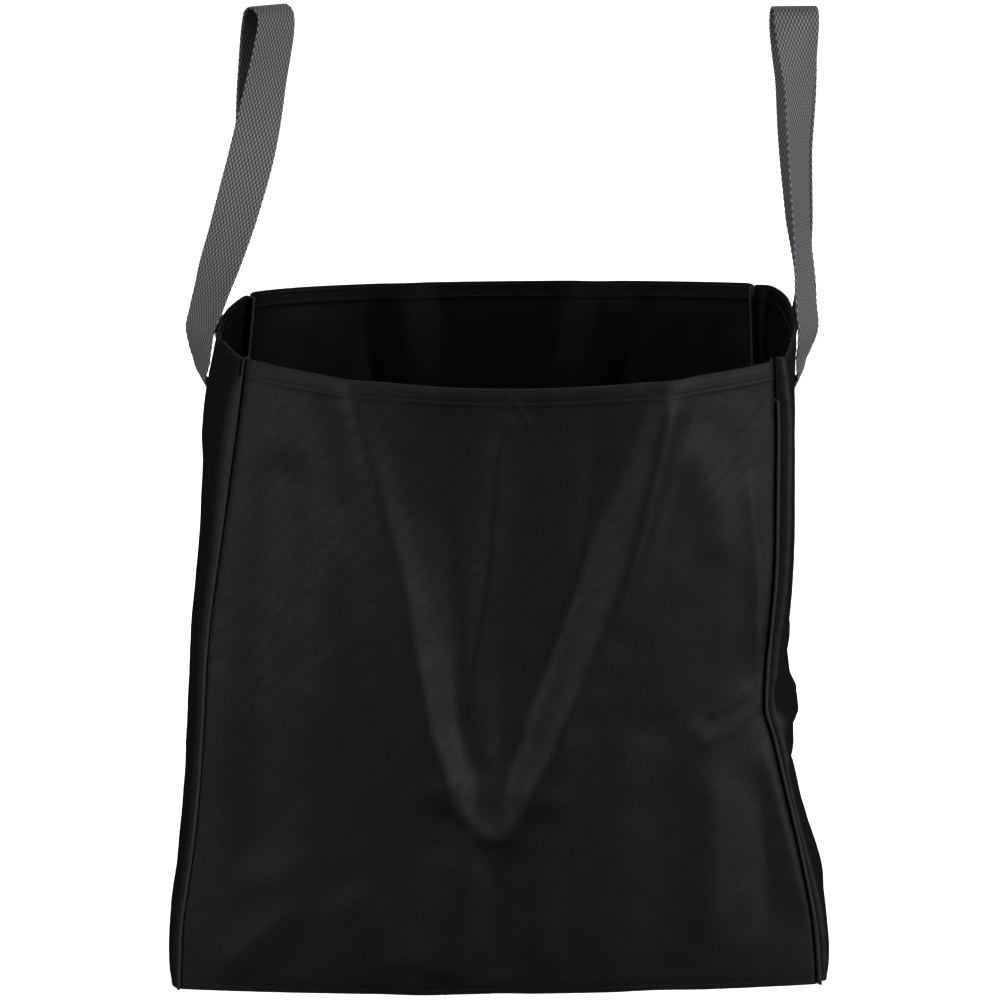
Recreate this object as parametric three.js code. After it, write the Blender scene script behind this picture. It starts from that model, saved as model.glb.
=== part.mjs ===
import * as THREE from "three";

// An open-topped firewood carrier of black coated cloth: four walls and a base, bound seams at its
// corners, and one long webbing loop on each side gusset. It stands on its base, with the loops up.
// Lengths are in millimetres: x runs across the bag, y from its front to its back, z up.

// The bag
const BASE_WIDTH = 416;
const BASE_DEPTH = 256;
const BAG_HEIGHT = 410;
const CLOTH = 1.2;
const HEM_DEPTH = 12;
const HEM_LAYERS = 2;
const HEM_SPREAD = 30;
const GAP = 0.3;
const BASE_GAP = 0.5;
const BASE_CORNER_INSET = 9;

// The bound seams that stand out along the corners
const SEAM_INSET = 5;
const BINDING_THICKNESS = 2;
const BINDING_WIDTH = 7.5;
const SHOULDER_WIDTH = 9;
const PANEL_SHOULDER_SHARE = 0.7;
const SEAM_GAP = 0.52;

// The webbing handles
const STRAP_WIDTH = 30;
const STRAP_THICKNESS = 1.8;
const HANDLE_RISE = 203;
const TURN_DIAMETER = 17;
const SEWN_LENGTH = 60;
const SEWN_DROP = 49;
const SEWN_GAP = 1.15;

// Steps of the faceted surfaces
const SEAM_ROWS = 24;
const STRAP_STEPS = 2;
const TURN_STEPS = 4;
const ROUNDED_COLUMNS = [0, 0.33, 0.66];
const SEWN_STATIONS = [1, 0.67, 0.33, 0];
const SLOPE_STEP = 0.02;

const HALF_WIDTH = BASE_WIDTH / 2;
const HALF_DEPTH = BASE_DEPTH / 2;
const TOP = 1;
const HEM_START = 1 - (HEM_DEPTH + CLOTH / 2) / BAG_HEIGHT;

// The corner lines, from the ground to the rim: up is a share of the bag's height, x a share of half its
// width and y a share of half its depth.
const CORNERS = {
  front_left: [
    { up: 0.0, x: -1.01, y: -1.03 },
    { up: 0.1, x: -1.0, y: -1.02 },
    { up: 0.16, x: -0.983, y: -1.01 },
    { up: 0.26, x: -0.954, y: -0.995 },
    { up: 0.41, x: -0.928, y: -0.975 },
    { up: 0.56, x: -0.908, y: -0.955 },
    { up: 0.7, x: -0.868, y: -0.935 },
    { up: 0.84, x: -0.827, y: -0.91 },
    { up: 1.0, x: -0.782, y: -0.865 },
  ],
  front_right: [
    { up: 0.0, x: 1.01, y: -0.955 },
    { up: 0.08, x: 0.997, y: -0.95 },
    { up: 0.22, x: 0.944, y: -0.94 },
    { up: 0.3, x: 0.906, y: -0.935 },
    { up: 0.4, x: 0.858, y: -0.93 },
    { up: 0.455, x: 0.829, y: -0.925 },
    { up: 0.5, x: 0.832, y: -0.92 },
    { up: 0.7, x: 0.857, y: -0.91 },
    { up: 0.86, x: 0.856, y: -0.905 },
    { up: 1.0, x: 0.846, y: -0.92 },
  ],
  back_right: [
    { up: 0.0, x: 1.0, y: 1.0 },
    { up: 0.25, x: 0.95, y: 1.01 },
    { up: 0.5, x: 0.9, y: 1.04 },
    { up: 1.0, x: 0.856, y: 1.17 },
  ],
  back_left: [
    { up: 0.0, x: -1.0, y: 1.0 },
    { up: 0.25, x: -0.965, y: 0.98 },
    { up: 0.5, x: -0.93, y: 0.93 },
    { up: 1.0, x: -0.832, y: 0.84 },
  ],
};

// How each bound seam stands: the direction that it points away from the bag, how far it is turned towards
// the gusset, in degrees, how far below the rim its square end is, and the share of its width at which the
// cloth on both sides meets it.
const SEAMS = {
  front_left: { across: -1, along: -1, lean: 14, drop: 1, meets: 0.62 },
  front_right: { across: 1, along: -1, lean: 14, drop: 27, meets: 0.0 },
  back_right: { across: 1, along: 1, lean: 30, drop: 1, meets: 0.5 },
  back_left: { across: -1, along: 1, lean: 30, drop: 1, meets: 0.5 },
};

// The four walls, counter-clockwise seen from above. bulge is how far the middle stands out from the line
// between its corners, as a share of half the bag's depth; peak is where the wall stands out most, across
// it; and the lower arch is, the sooner it is that full. rimDip is how far the middle of the rim hangs
// below its corners, as a share of the bag's height; roll is how far the bottom edge turns in where the
// wall is full.
const WALLS = {
  front: {
    start: "front_left",
    end: "front_right",
    columns: 22,
    rows: 23,
    rimDip: 0.024,
    roll: 2,
    bulge: [
      { up: 0.0, out: 0.13, peak: 0.5, arch: 0.95 },
      { up: 0.2, out: 0.19, peak: 0.5, arch: 0.95 },
      { up: 0.5, out: 0.27, peak: 0.5, arch: 0.95 },
      { up: 0.8, out: 0.36, peak: 0.5, arch: 0.95 },
      { up: 1.0, out: 0.41, peak: 0.5, arch: 0.95 },
    ],
  },
  right: {
    start: "front_right",
    end: "back_right",
    columns: 10,
    rows: 19,
    rimDip: 0.0,
    roll: 4,
    bulge: [
      { up: 0.0, out: 0.06, peak: 0.42, arch: 0.7 },
      { up: 0.12, out: 0.065, peak: 0.42, arch: 0.7 },
      { up: 0.27, out: 0.015, peak: 0.42, arch: 0.7 },
      { up: 0.38, out: 0.065, peak: 0.42, arch: 0.7 },
      { up: 0.5, out: 0.08, peak: 0.42, arch: 0.7 },
      { up: 0.6, out: 0.092, peak: 0.4, arch: 0.65 },
      { up: 0.74, out: 0.084, peak: 0.36, arch: 0.5 },
      { up: 0.88, out: 0.083, peak: 0.36, arch: 0.5 },
      { up: 1.0, out: 0.138, peak: 0.66, arch: 0.42 },
    ],
  },
  back: {
    start: "back_right",
    end: "back_left",
    columns: 12,
    rows: 14,
    rimDip: 0.006,
    roll: 2,
    bulge: [
      { up: 0.0, out: 0.1, peak: 0.5, arch: 0.7 },
      { up: 0.5, out: 0.24, peak: 0.5, arch: 0.7 },
      { up: 1.0, out: 0.37, peak: 0.62, arch: 0.5 },
    ],
  },
  left: {
    start: "back_left",
    end: "front_left",
    columns: 10,
    rows: 17,
    rimDip: 0.0,
    roll: 4,
    bulge: [
      { up: 0.0, out: 0.075, peak: 0.6, arch: 0.7 },
      { up: 0.2, out: 0.06, peak: 0.6, arch: 0.7 },
      { up: 0.5, out: 0.075, peak: 0.6, arch: 0.7 },
      { up: 0.7, out: 0.095, peak: 0.62, arch: 0.7 },
      { up: 0.77, out: 0.113, peak: 0.66, arch: 0.7 },
      { up: 0.9, out: 0.136, peak: 0.66, arch: 0.75 },
      { up: 0.95, out: 0.134, peak: 0.6, arch: 0.8 },
      { up: 1.0, out: 0.117, peak: 0.5, arch: 1.05 },
    ],
  },
};
const ROLL_HEIGHT = 12;

// The wedge-shaped dent of the front wall, between two lines that meet low down: left and right are its
// edges across the wall, slope the share of the wall's width over which it sinks, and depth a share of
// half the bag's depth.
const DENT = [
  { up: 0.26, left: 0.43, right: 0.55, slope: 0.04, depth: 0.0 },
  { up: 0.33, left: 0.42, right: 0.57, slope: 0.05, depth: 0.05 },
  { up: 0.42, left: 0.4, right: 0.63, slope: 0.06, depth: 0.08 },
  { up: 0.56, left: 0.37, right: 0.7, slope: 0.08, depth: 0.095 },
  { up: 0.75, left: 0.3, right: 0.76, slope: 0.1, depth: 0.085 },
  { up: 0.9, left: 0.24, right: 0.79, slope: 0.12, depth: 0.055 },
  { up: 1.0, left: 0.18, right: 0.81, slope: 0.13, depth: 0.015 },
];

// Long soft folds: each runs on its wall from one point to another, given across and up the wall, and
// stands out, or sinks if height is negative, by a share of half the bag's depth; width is half its
// width, as a share of the bag's width.
const FOLDS = {
  front: [
    { fromAcross: 0.2, fromUp: 0.98, toAcross: 0.42, toUp: 0.36, width: 0.075, height: 0.03 },
    { fromAcross: 0.8, fromUp: 0.98, toAcross: 0.58, toUp: 0.34, width: 0.07, height: 0.028 },
    { fromAcross: 0.5, fromUp: 0.93, toAcross: 0.485, toUp: 0.4, width: 0.045, height: 0.018 },
    { fromAcross: 0.1, fromUp: 0.82, toAcross: 0.12, toUp: 0.25, width: 0.08, height: -0.03 },
    { fromAcross: 0.44, fromUp: 0.33, toAcross: 0.54, toUp: 0.33, width: 0.06, height: 0.014 },
    { fromAcross: 0.97, fromUp: 0.46, toAcross: 0.74, toUp: 0.35, width: 0.05, height: 0.018 },
    { fromAcross: 0.8, fromUp: 0.4, toAcross: 0.74, toUp: 0.02, width: 0.08, height: -0.016 },
    { fromAcross: 0.45, fromUp: 0.24, toAcross: 0.38, toUp: 0.02, width: 0.08, height: 0.018 },
    { fromAcross: 0.51, fromUp: 0.22, toAcross: 0.5, toUp: 0.02, width: 0.06, height: -0.012 },
  ],
  right: [
    { fromAcross: 0.05, fromUp: 0.47, toAcross: 0.7, toUp: 0.53, width: 0.035, height: -0.05 },
    { fromAcross: 0.05, fromUp: 0.42, toAcross: 0.6, toUp: 0.38, width: 0.03, height: 0.03 },
    { fromAcross: 0.05, fromUp: 0.33, toAcross: 0.7, toUp: 0.28, width: 0.04, height: -0.03 },
  ],
  back: [
    { fromAcross: 0.3, fromUp: 0.95, toAcross: 0.42, toUp: 0.3, width: 0.08, height: -0.06 },
    { fromAcross: 0.68, fromUp: 0.95, toAcross: 0.6, toUp: 0.35, width: 0.08, height: -0.05 },
  ],
  left: [
    { fromAcross: 0.45, fromUp: 0.6, toAcross: 0.7, toUp: 0.12, width: 0.06, height: -0.03 },
  ],
};

// Each handle. sewn is where its legs are sewn to their gusset, from its front edge (0) to its back edge
// (1). The rows are the free part of each leg, from just below the rim up: rise is a share of the handle's
// rise, out and back are shares of half the bag's width and depth, and turn is how far the webbing's width
// is turned from the bag's width, in degrees.
const LEGS = {
  left: {
    side: -1,
    sewn: { front: 0.59, back: 0.86 },
    front: [
      { rise: -0.18, out: 0.944, back: 0.11, turn: -77 },
      { rise: -0.128, out: 0.945, back: 0.1, turn: -64 },
      { rise: -0.079, out: 0.947, back: 0.09, turn: -56 },
      { rise: -0.029, out: 0.945, back: 0.08, turn: -48 },
      { rise: 0.036, out: 0.9255, back: 0.09, turn: -41 },
      { rise: 0.102, out: 0.905, back: 0.1, turn: -35 },
      { rise: 0.17, out: 0.884, back: 0.12, turn: -24 },
      { rise: 0.28, out: 0.848, back: 0.15, turn: -16 },
      { rise: 0.4, out: 0.813, back: 0.18, turn: -5 },
      { rise: 0.54, out: 0.776, back: 0.22, turn: 8 },
      { rise: 0.75, out: 0.733, back: 0.26, turn: 31 },
    ],
    top: { out: 0.698, back: 0.28, turn: 41 },
    back: [
      { rise: 0.75, out: 0.768, back: 0.42, turn: 35 },
      { rise: 0.5, out: 0.785, back: 0.48, turn: 32 },
      { rise: 0.38, out: 0.815, back: 0.51, turn: 38 },
      { rise: 0.25, out: 0.845, back: 0.54, turn: 50 },
      { rise: 0.12, out: 0.868, back: 0.56, turn: 66 },
      { rise: 0.0, out: 0.912, back: 0.58, turn: 84 },
    ],
  },
  right: {
    side: 1,
    sewn: { front: 0.52, back: 0.78 },
    front: [
      { rise: -0.18, out: 0.95, back: 0.14, turn: 80 },
      { rise: -0.142, out: 0.954, back: 0.13, turn: 75 },
      { rise: -0.112, out: 0.96, back: 0.12, turn: 70 },
      { rise: -0.073, out: 0.967, back: 0.1, turn: 64 },
      { rise: -0.027, out: 0.9705, back: 0.09, turn: 60 },
      { rise: 0.052, out: 0.963, back: 0.1, turn: 60 },
      { rise: 0.12, out: 0.96, back: 0.12, turn: 60 },
      { rise: 0.3, out: 0.945, back: 0.14, turn: 66 },
      { rise: 0.56, out: 0.933, back: 0.18, turn: 59 },
      { rise: 0.76, out: 0.933, back: 0.21, turn: 45 },
    ],
    top: { out: 0.923, back: 0.22, turn: 6 },
    back: [
      { rise: 0.76, out: 0.93, back: 0.37, turn: -28 },
      { rise: 0.54, out: 0.935, back: 0.43, turn: -46 },
      { rise: 0.28, out: 0.955, back: 0.53, turn: -58 },
      { rise: 0.03, out: 0.968, back: 0.61, turn: -82 },
    ],
  },
};

const clothBlack = new THREE.MeshStandardMaterial({ color: "#1b1b1c", roughness: 0.62, metalness: 0 });
const bindingBlack = new THREE.MeshStandardMaterial({ color: "#1f1f20", roughness: 0.7, metalness: 0 });
const webbingGrey = new THREE.MeshStandardMaterial({ color: "#515254", roughness: 0.75, metalness: 0 });

const smooth = (t) => {
  const s = Math.min(Math.max(t, 0), 1);
  return s * s * (3 - 2 * s);
};

// A smooth value between the rows of a table that is sorted by its key column, with no overshoot.
function valueAt(rows, key, column, at) {
  const last = rows.length - 1;
  if (at <= rows[0][key]) return rows[0][column];
  if (at >= rows[last][key]) return rows[last][column];
  const i = rows.findIndex((row) => row[key] > at) - 1;
  const steps = rows.slice(1).map((row, k) => row[key] - rows[k][key]);
  const slopes = steps.map((step, k) => (rows[k + 1][column] - rows[k][column]) / step);
  const tangent = (k) => {
    if (k === 0) return slopes[0];
    if (k === last) return slopes[last - 1];
    if (slopes[k - 1] * slopes[k] <= 0) return 0;
    const before = 2 * steps[k] + steps[k - 1];
    const after = steps[k] + 2 * steps[k - 1];
    return (before + after) / (before / slopes[k - 1] + after / slopes[k]);
  };
  const t = (at - rows[i][key]) / steps[i];
  const from = (1 + 2 * t) * (1 - t) ** 2 * rows[i][column];
  const to = t * t * (3 - 2 * t) * rows[i + 1][column];
  const bend = t * (1 - t) * ((1 - t) * tangent(i) - t * tangent(i + 1)) * steps[i];
  return from + to + bend;
}

function cornerAt(name, up) {
  const rows = CORNERS[name];
  return new THREE.Vector2(
    valueAt(rows, "up", "x", up) * HALF_WIDTH,
    valueAt(rows, "up", "y", up) * HALF_DEPTH,
  );
}

const seamDirection = ({ across, along, lean }) => {
  const angle = THREE.MathUtils.degToRad(lean);
  return new THREE.Vector2(across * Math.sin(angle), along * Math.cos(angle));
};

// The direction along a wall's chord at one height, from its start corner to its end corner.
const chordOf = (wall, up) => cornerAt(wall.end, up).sub(cornerAt(wall.start, up));

// A point in from a corner, by the same distance along both of the walls that meet there.
function insideCorner(name, up, inset) {
  const place = cornerAt(name, up);
  for (const wall of Object.values(WALLS)) {
    const away = chordOf(wall, up).normalize();
    if (wall.start === name) place.addScaledVector(away, inset);
    if (wall.end === name) place.addScaledVector(away, -inset);
  }
  return place;
}

const seamFoot = (name, up) => insideCorner(name, up, SEAM_INSET);

// The room that a wall's cloth takes up beside a bound seam: it widens below the hem to the hem's layers.
function clothRoom(up) {
  const widening = smooth(1 + ((up - HEM_START) * BAG_HEIGHT) / HEM_SPREAD);
  return CLOTH * (1 + (HEM_LAYERS - 1) * widening);
}

// The edge of a wall's cloth beside a bound seam: its inside keeps a small gap to the seam's face.
function wallEdge(name, away, up) {
  const direction = seamDirection(SEAMS[name]);
  const beside = new THREE.Vector2(-direction.y, direction.x);
  if (beside.dot(away) < 0) beside.negate();
  const edge = seamFoot(name, up);
  const outward = new THREE.Vector2(away.y, -away.x);
  if (outward.dot(edge) < 0) outward.negate();
  const clearance = SEAM_GAP + clothRoom(up) * Math.max(outward.dot(beside), 0);
  edge.addScaledVector(beside, BINDING_THICKNESS / 2 + clearance);
  return edge.addScaledVector(direction, SEAMS[name].meets * BINDING_WIDTH);
}

// How far a fold stands out at a place on its wall: a soft ridge that fades out at both ends.
function foldHeight(fold, across, up) {
  const run = new THREE.Vector2(fold.toAcross - fold.fromAcross, fold.toUp - fold.fromUp);
  const place = new THREE.Vector2(across - fold.fromAcross, up - fold.fromUp);
  const stretch = new THREE.Vector2(BASE_WIDTH, BAG_HEIGHT);
  run.multiply(stretch);
  place.multiply(stretch);
  const length = run.length();
  const along = place.dot(run) / length;
  const beside = Math.abs(place.cross(run)) / length;
  const width = fold.width * BASE_WIDTH;
  const over = Math.max(-along, along - length, 0);
  const distance = Math.hypot(over, beside) / width;
  return distance < 1 ? fold.height * HALF_DEPTH * (0.5 + 0.5 * Math.cos(Math.PI * distance)) : 0;
}

function dentDepth(across, up) {
  const [left, right, slope, depth] = ["left", "right", "slope", "depth"].map((column) =>
    valueAt(DENT, "up", column, up),
  );
  const between = smooth((across - left) / slope) * smooth((right - across) / slope);
  return up < DENT[0].up ? 0 : depth * HALF_DEPTH * between;
}

// A point of a wall before its cloth turns in at the bound seams.
function plainPoint(name, across, up) {
  const wall = WALLS[name];
  const chord = chordOf(wall, up);
  const outward = new THREE.Vector2(chord.y, -chord.x).normalize();
  const [fullness, peak, roundness] = ["out", "peak", "arch"].map((column) =>
    valueAt(wall.bulge, "up", column, up),
  );
  const skewed = across ** (Math.log(0.5) / Math.log(peak));
  const arch = Math.max(4 * skewed * (1 - skewed), 0) ** roundness;
  const low = 1 - Math.min((up * BAG_HEIGHT) / ROLL_HEIGHT, 1);
  let out = fullness * HALF_DEPTH * arch;
  out -= wall.roll * low ** 2 * Math.min(arch, 1);
  for (const fold of FOLDS[name]) out += foldHeight(fold, across, up);
  if (name === "front") out -= dentDepth(across, up);
  const flat = cornerAt(wall.start, up).addScaledVector(chord, across).addScaledVector(outward, out);
  return new THREE.Vector3(flat.x, flat.y, BAG_HEIGHT * (up - wall.rimDip * arch * up ** 3));
}

// A point on the outside of a wall, with its two sides rounded down into the bound seams.
function wallPoint(name, across, up) {
  const wall = WALLS[name];
  const chord = chordOf(wall, up);
  const length = chord.length();
  const away = chord.clone().normalize();
  const point = plainPoint(name, across, up);
  const sides = [
    { corner: wall.start, at: 0, away, distance: across * length },
    { corner: wall.end, at: 1, away: away.clone().negate(), distance: (1 - across) * length },
  ];
  for (const side of sides) {
    const rest = 1 - Math.min(side.distance / SHOULDER_WIDTH, 1);
    const turn = rest ** 2;
    const edge = wallEdge(side.corner, side.away, up);
    const corner = plainPoint(name, side.at, up);
    point.x += turn * (edge.x - corner.x);
    point.y += turn * (edge.y - corner.y);
  }
  return point;
}

// Places across a wall: close together on its rounded sides, even between them.
function placesAcross(wall, count) {
  const shoulder = SHOULDER_WIDTH / BASE_DEPTH;
  const isPanel = wall.start.startsWith("front") === wall.end.startsWith("front");
  const share = isPanel ? shoulder * PANEL_SHOULDER_SHARE : shoulder;
  const rounded = ROUNDED_COLUMNS.map((part) => part * share);
  const even = Array.from({ length: count + 1 }, (_, i) => share + ((1 - 2 * share) * i) / count);
  return [...rounded, ...even, ...rounded.map((part) => 1 - part).reverse()];
}

// Places up a wall: close together where the bottom edge turns in and where the hem starts.
function placesUp(count) {
  const roll = ROLL_HEIGHT / BAG_HEIGHT;
  const hem = 1 - HEM_DEPTH / BAG_HEIGHT;
  const step = CLOTH / BAG_HEIGHT;
  const low = ROUNDED_COLUMNS.map((part) => part * roll);
  const even = Array.from({ length: count + 1 }, (_, i) => roll + ((hem - step - roll) * i) / count);
  return [...low, ...even, hem, TOP];
}

function closedGeometry(points, triangles) {
  const geometry = new THREE.BufferGeometry();
  geometry.setAttribute("position", new THREE.Float32BufferAttribute(points.flatMap((p) => p.toArray()), 3));
  geometry.setIndex(triangles.flat());
  geometry.computeVertexNormals();
  return geometry;
}

// The normals of a grid of points, from its neighbours.
function gridNormal(grid, i, j) {
  const columns = grid.length - 1;
  const rows = grid[0].length - 1;
  const along = grid[Math.min(i + 1, columns)][j].clone().sub(grid[Math.max(i - 1, 0)][j]);
  const upward = grid[i][Math.min(j + 1, rows)].clone().sub(grid[i][Math.max(j - 1, 0)]);
  return along.cross(upward).normalize();
}

// The inside of a wall at one grid point: one cloth in, or the hem's folded layers in near the rim, and
// level with the outside along the bottom edge and the rim.
function insidePoint(grid, ups, i, j) {
  const thickness = ups[j] >= HEM_START ? CLOTH * HEM_LAYERS : CLOTH;
  const point = grid[i][j].clone().addScaledVector(gridNormal(grid, i, j), -thickness);
  if (j === 0 || j === ups.length - 1) point.z = grid[i][j].z;
  return point;
}

function wallGrid(name) {
  const wall = WALLS[name];
  const ups = placesUp(wall.rows);
  const grid = placesAcross(wall, wall.columns).map((across) => ups.map((up) => wallPoint(name, across, up)));
  return { grid, ups };
}

// A wall as a closed solid: its outside and inside grids, joined round their edges.
function wallGeometry(name) {
  const { grid, ups } = wallGrid(name);
  const columns = grid.length;
  const rows = ups.length;
  const inside = grid.map((column, i) => column.map((_, j) => insidePoint(grid, ups, i, j)));
  const points = [...grid.flat(), ...inside.flat()];
  const outer = (i, j) => i * rows + j;
  const inner = (i, j) => columns * rows + i * rows + j;
  const triangles = [];
  const quad = (a, b, c, d) => triangles.push([a, b, c], [a, c, d]);
  for (let i = 0; i < columns - 1; i += 1) {
    for (let j = 0; j < rows - 1; j += 1) {
      quad(outer(i, j), outer(i + 1, j), outer(i + 1, j + 1), outer(i, j + 1));
      quad(inner(i, j), inner(i, j + 1), inner(i + 1, j + 1), inner(i + 1, j));
    }
    quad(outer(i, 0), inner(i, 0), inner(i + 1, 0), outer(i + 1, 0));
    quad(outer(i, rows - 1), outer(i + 1, rows - 1), inner(i + 1, rows - 1), inner(i, rows - 1));
  }
  for (let j = 0; j < rows - 1; j += 1) {
    quad(outer(0, j), outer(0, j + 1), inner(0, j + 1), inner(0, j));
    quad(outer(columns - 1, j), inner(columns - 1, j), inner(columns - 1, j + 1), outer(columns - 1, j + 1));
  }
  return closedGeometry(points, triangles);
}

// The base: a flat sheet whose outline keeps a small gap to the inside of the walls and cuts across
// behind the feet of the bound seams.
function baseGeometry() {
  const outline = [];
  for (const [name, wall] of Object.entries(WALLS)) {
    const { grid, ups } = wallGrid(name);
    const first = ROUNDED_COLUMNS.length;
    for (let i = first; i < grid.length - first; i += 1) {
      const sits = insidePoint(grid, ups, i, 0);
      const outward = gridNormal(grid, i, 0);
      const flat = new THREE.Vector2(outward.x, outward.y).normalize();
      outline.push(new THREE.Vector2(sits.x, sits.y).addScaledVector(flat, -BASE_GAP));
    }
    outline.push(insideCorner(wall.end, 0, BASE_CORNER_INSET));
  }
  return new THREE.ExtrudeGeometry(new THREE.Shape(outline), { depth: CLOTH, bevelEnabled: false });
}

// A closed solid through a row of four-cornered sections, each counter-clockwise seen from its far side.
function sweptGeometry(sections) {
  const triangles = [];
  const last = (sections.length - 1) * 4;
  for (let k = 0; k < last; k += 4) {
    for (let i = 0; i < 4; i += 1) {
      const next = (i + 1) % 4;
      triangles.push([k + i, k + next, k + 4 + next], [k + i, k + 4 + next, k + 4 + i]);
    }
  }
  triangles.push([0, 3, 2], [0, 2, 1], [last, last + 1, last + 2], [last, last + 2, last + 3]);
  return closedGeometry(sections.flat(), triangles);
}

// A bound seam: a flat fin that stands out from the corner line, from the ground to its square top.
function bindingGeometry(name) {
  const seam = SEAMS[name];
  const direction = seamDirection(seam);
  const beside = new THREE.Vector2(-direction.y, direction.x);
  const top = 1 - seam.drop / BAG_HEIGHT;
  const sections = Array.from({ length: SEAM_ROWS + 1 }, (_, row) => {
    const up = (top * row) / SEAM_ROWS;
    const foot = seamFoot(name, up);
    const corner = (out, aside) => {
      const flat = foot.clone().addScaledVector(direction, out).addScaledVector(beside, aside);
      return new THREE.Vector3(flat.x, flat.y, up * BAG_HEIGHT);
    };
    const half = BINDING_THICKNESS / 2;
    return [
      corner(BINDING_WIDTH, half),
      corner(GAP, half),
      corner(GAP, -half),
      corner(BINDING_WIDTH, -half),
    ];
  });
  return sweptGeometry(sections);
}

// A place on a gusset where a leg of its handle is sewn, lying on the outside of the cloth.
function sewnStation({ side, sewn }, leg, drop) {
  const name = side < 0 ? "left" : "right";
  const place = side < 0 ? 1 - sewn[leg] : sewn[leg];
  const up = 1 - drop / BAG_HEIGHT;
  const along = wallPoint(name, place + SLOPE_STEP, up).sub(wallPoint(name, place - SLOPE_STEP, up));
  const upward = wallPoint(name, place, up + SLOPE_STEP).sub(wallPoint(name, place, up - SLOPE_STEP));
  const outward = along.clone().cross(upward).normalize();
  const point = wallPoint(name, place, up).addScaledVector(outward, STRAP_THICKNESS / 2 + SEWN_GAP);
  const across = leg === "front" ? along : along.negate();
  return { point, turn: THREE.MathUtils.radToDeg(Math.atan2(across.y, across.x)) };
}

// The stations of a handle, from the end of its front leg over the turn at the top to its back leg's end.
function handleStations(handle) {
  const { side, front, top, back } = handle;
  const free = ({ rise, out, back: behind, turn }) => ({
    point: new THREE.Vector3(side * out * HALF_WIDTH, behind * HALF_DEPTH, BAG_HEIGHT + rise * HANDLE_RISE),
    turn,
  });
  const crown = free({ ...top, rise: 1 });
  const angle = THREE.MathUtils.degToRad(top.turn);
  const across = new THREE.Vector3(-Math.sin(angle), Math.cos(angle), 0);
  const radius = TURN_DIAMETER / 2;
  crown.point.z -= radius + STRAP_THICKNESS / 2;
  const turned = Array.from({ length: TURN_STEPS + 1 }, (_, k) => {
    const swing = (Math.PI * k) / TURN_STEPS;
    const point = crown.point.clone().addScaledVector(across, radius * (1 - Math.cos(swing)));
    point.z += radius * Math.sin(swing);
    return { point, turn: top.turn };
  });
  const drops = SEWN_STATIONS.map((part) => SEWN_DROP + part * SEWN_LENGTH);
  return [
    ...drops.map((drop) => sewnStation(handle, "front", drop)),
    ...front.map(free),
    ...turned,
    ...back.map(free),
    ...drops.map((drop) => sewnStation(handle, "back", drop)).reverse(),
  ];
}

// A webbing loop: a flat strip that follows its stations, twisting as they turn.
function handleGeometry(legs) {
  const stations = handleStations(legs);
  const curve = new THREE.CatmullRomCurve3(stations.map((station) => station.point));
  const steps = (stations.length - 1) * STRAP_STEPS;
  const sections = Array.from({ length: steps + 1 }, (_, k) => {
    const at = k / STRAP_STEPS;
    const i = Math.min(Math.floor(at), stations.length - 2);
    const turn = THREE.MathUtils.lerp(stations[i].turn, stations[i + 1].turn, at - i);
    const angle = THREE.MathUtils.degToRad(turn);
    const middle = curve.getPoint(k / steps);
    const forward = curve.getTangent(k / steps);
    const across = new THREE.Vector3(Math.cos(angle), Math.sin(angle), 0);
    across.addScaledVector(forward, -across.dot(forward)).normalize().multiplyScalar(STRAP_WIDTH / 2);
    const through = forward.clone().cross(across).normalize().multiplyScalar(STRAP_THICKNESS / 2);
    return [
      middle.clone().add(across).add(through),
      middle.clone().sub(across).add(through),
      middle.clone().sub(across).sub(through),
      middle.clone().add(across).sub(through),
    ];
  });
  return sweptGeometry(sections);
}

function piece(name, geometry, material) {
  const mesh = new THREE.Mesh(geometry, material);
  mesh.name = name;
  return mesh;
}

const WALL_NAMES = {
  front: "front_panel",
  right: "right_gusset",
  back: "back_panel",
  left: "left_gusset",
};

const bag = new THREE.Group();
for (const [wall, name] of Object.entries(WALL_NAMES)) bag.add(piece(name, wallGeometry(wall), clothBlack));
bag.add(piece("base_panel", baseGeometry(), clothBlack));
for (const name of Object.keys(SEAMS)) {
  bag.add(piece(`seam_binding_${name}`, bindingGeometry(name), bindingBlack));
}
for (const [name, legs] of Object.entries(LEGS)) {
  bag.add(piece(`handle_${name}`, handleGeometry(legs), webbingGrey));
}

export default bag;
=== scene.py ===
"""Dress a firewood carrier of black coated cloth around its CAD frame.

The bag is four cloth walls and a base, with bound seams along its corners, rows of stitches, and one long
webbing loop on each side. Lengths are in metres: x runs across the bag, y from its front to its back, z up.
"""

import logging
import math
from dataclasses import dataclass, field
from enum import Enum
from typing import Union

import bpy
import numpy as np
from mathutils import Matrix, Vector, noise


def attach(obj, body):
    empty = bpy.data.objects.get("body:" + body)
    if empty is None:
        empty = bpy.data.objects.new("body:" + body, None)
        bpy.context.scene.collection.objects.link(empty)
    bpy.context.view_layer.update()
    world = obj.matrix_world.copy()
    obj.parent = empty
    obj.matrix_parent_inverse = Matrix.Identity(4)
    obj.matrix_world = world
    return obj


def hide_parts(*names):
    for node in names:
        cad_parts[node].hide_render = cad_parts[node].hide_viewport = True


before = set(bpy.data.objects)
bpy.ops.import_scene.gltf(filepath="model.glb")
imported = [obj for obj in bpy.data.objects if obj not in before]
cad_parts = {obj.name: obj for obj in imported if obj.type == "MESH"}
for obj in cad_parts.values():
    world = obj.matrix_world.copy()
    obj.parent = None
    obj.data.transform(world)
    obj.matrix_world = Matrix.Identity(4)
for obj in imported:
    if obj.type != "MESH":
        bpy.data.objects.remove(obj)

LOG = logging.getLogger("log_carrier")
BODY = "root"

Array = np.ndarray
Colour = tuple[float, float, float]
Socket = bpy.types.NodeSocket
Value = Union[float, tuple, Socket]


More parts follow.
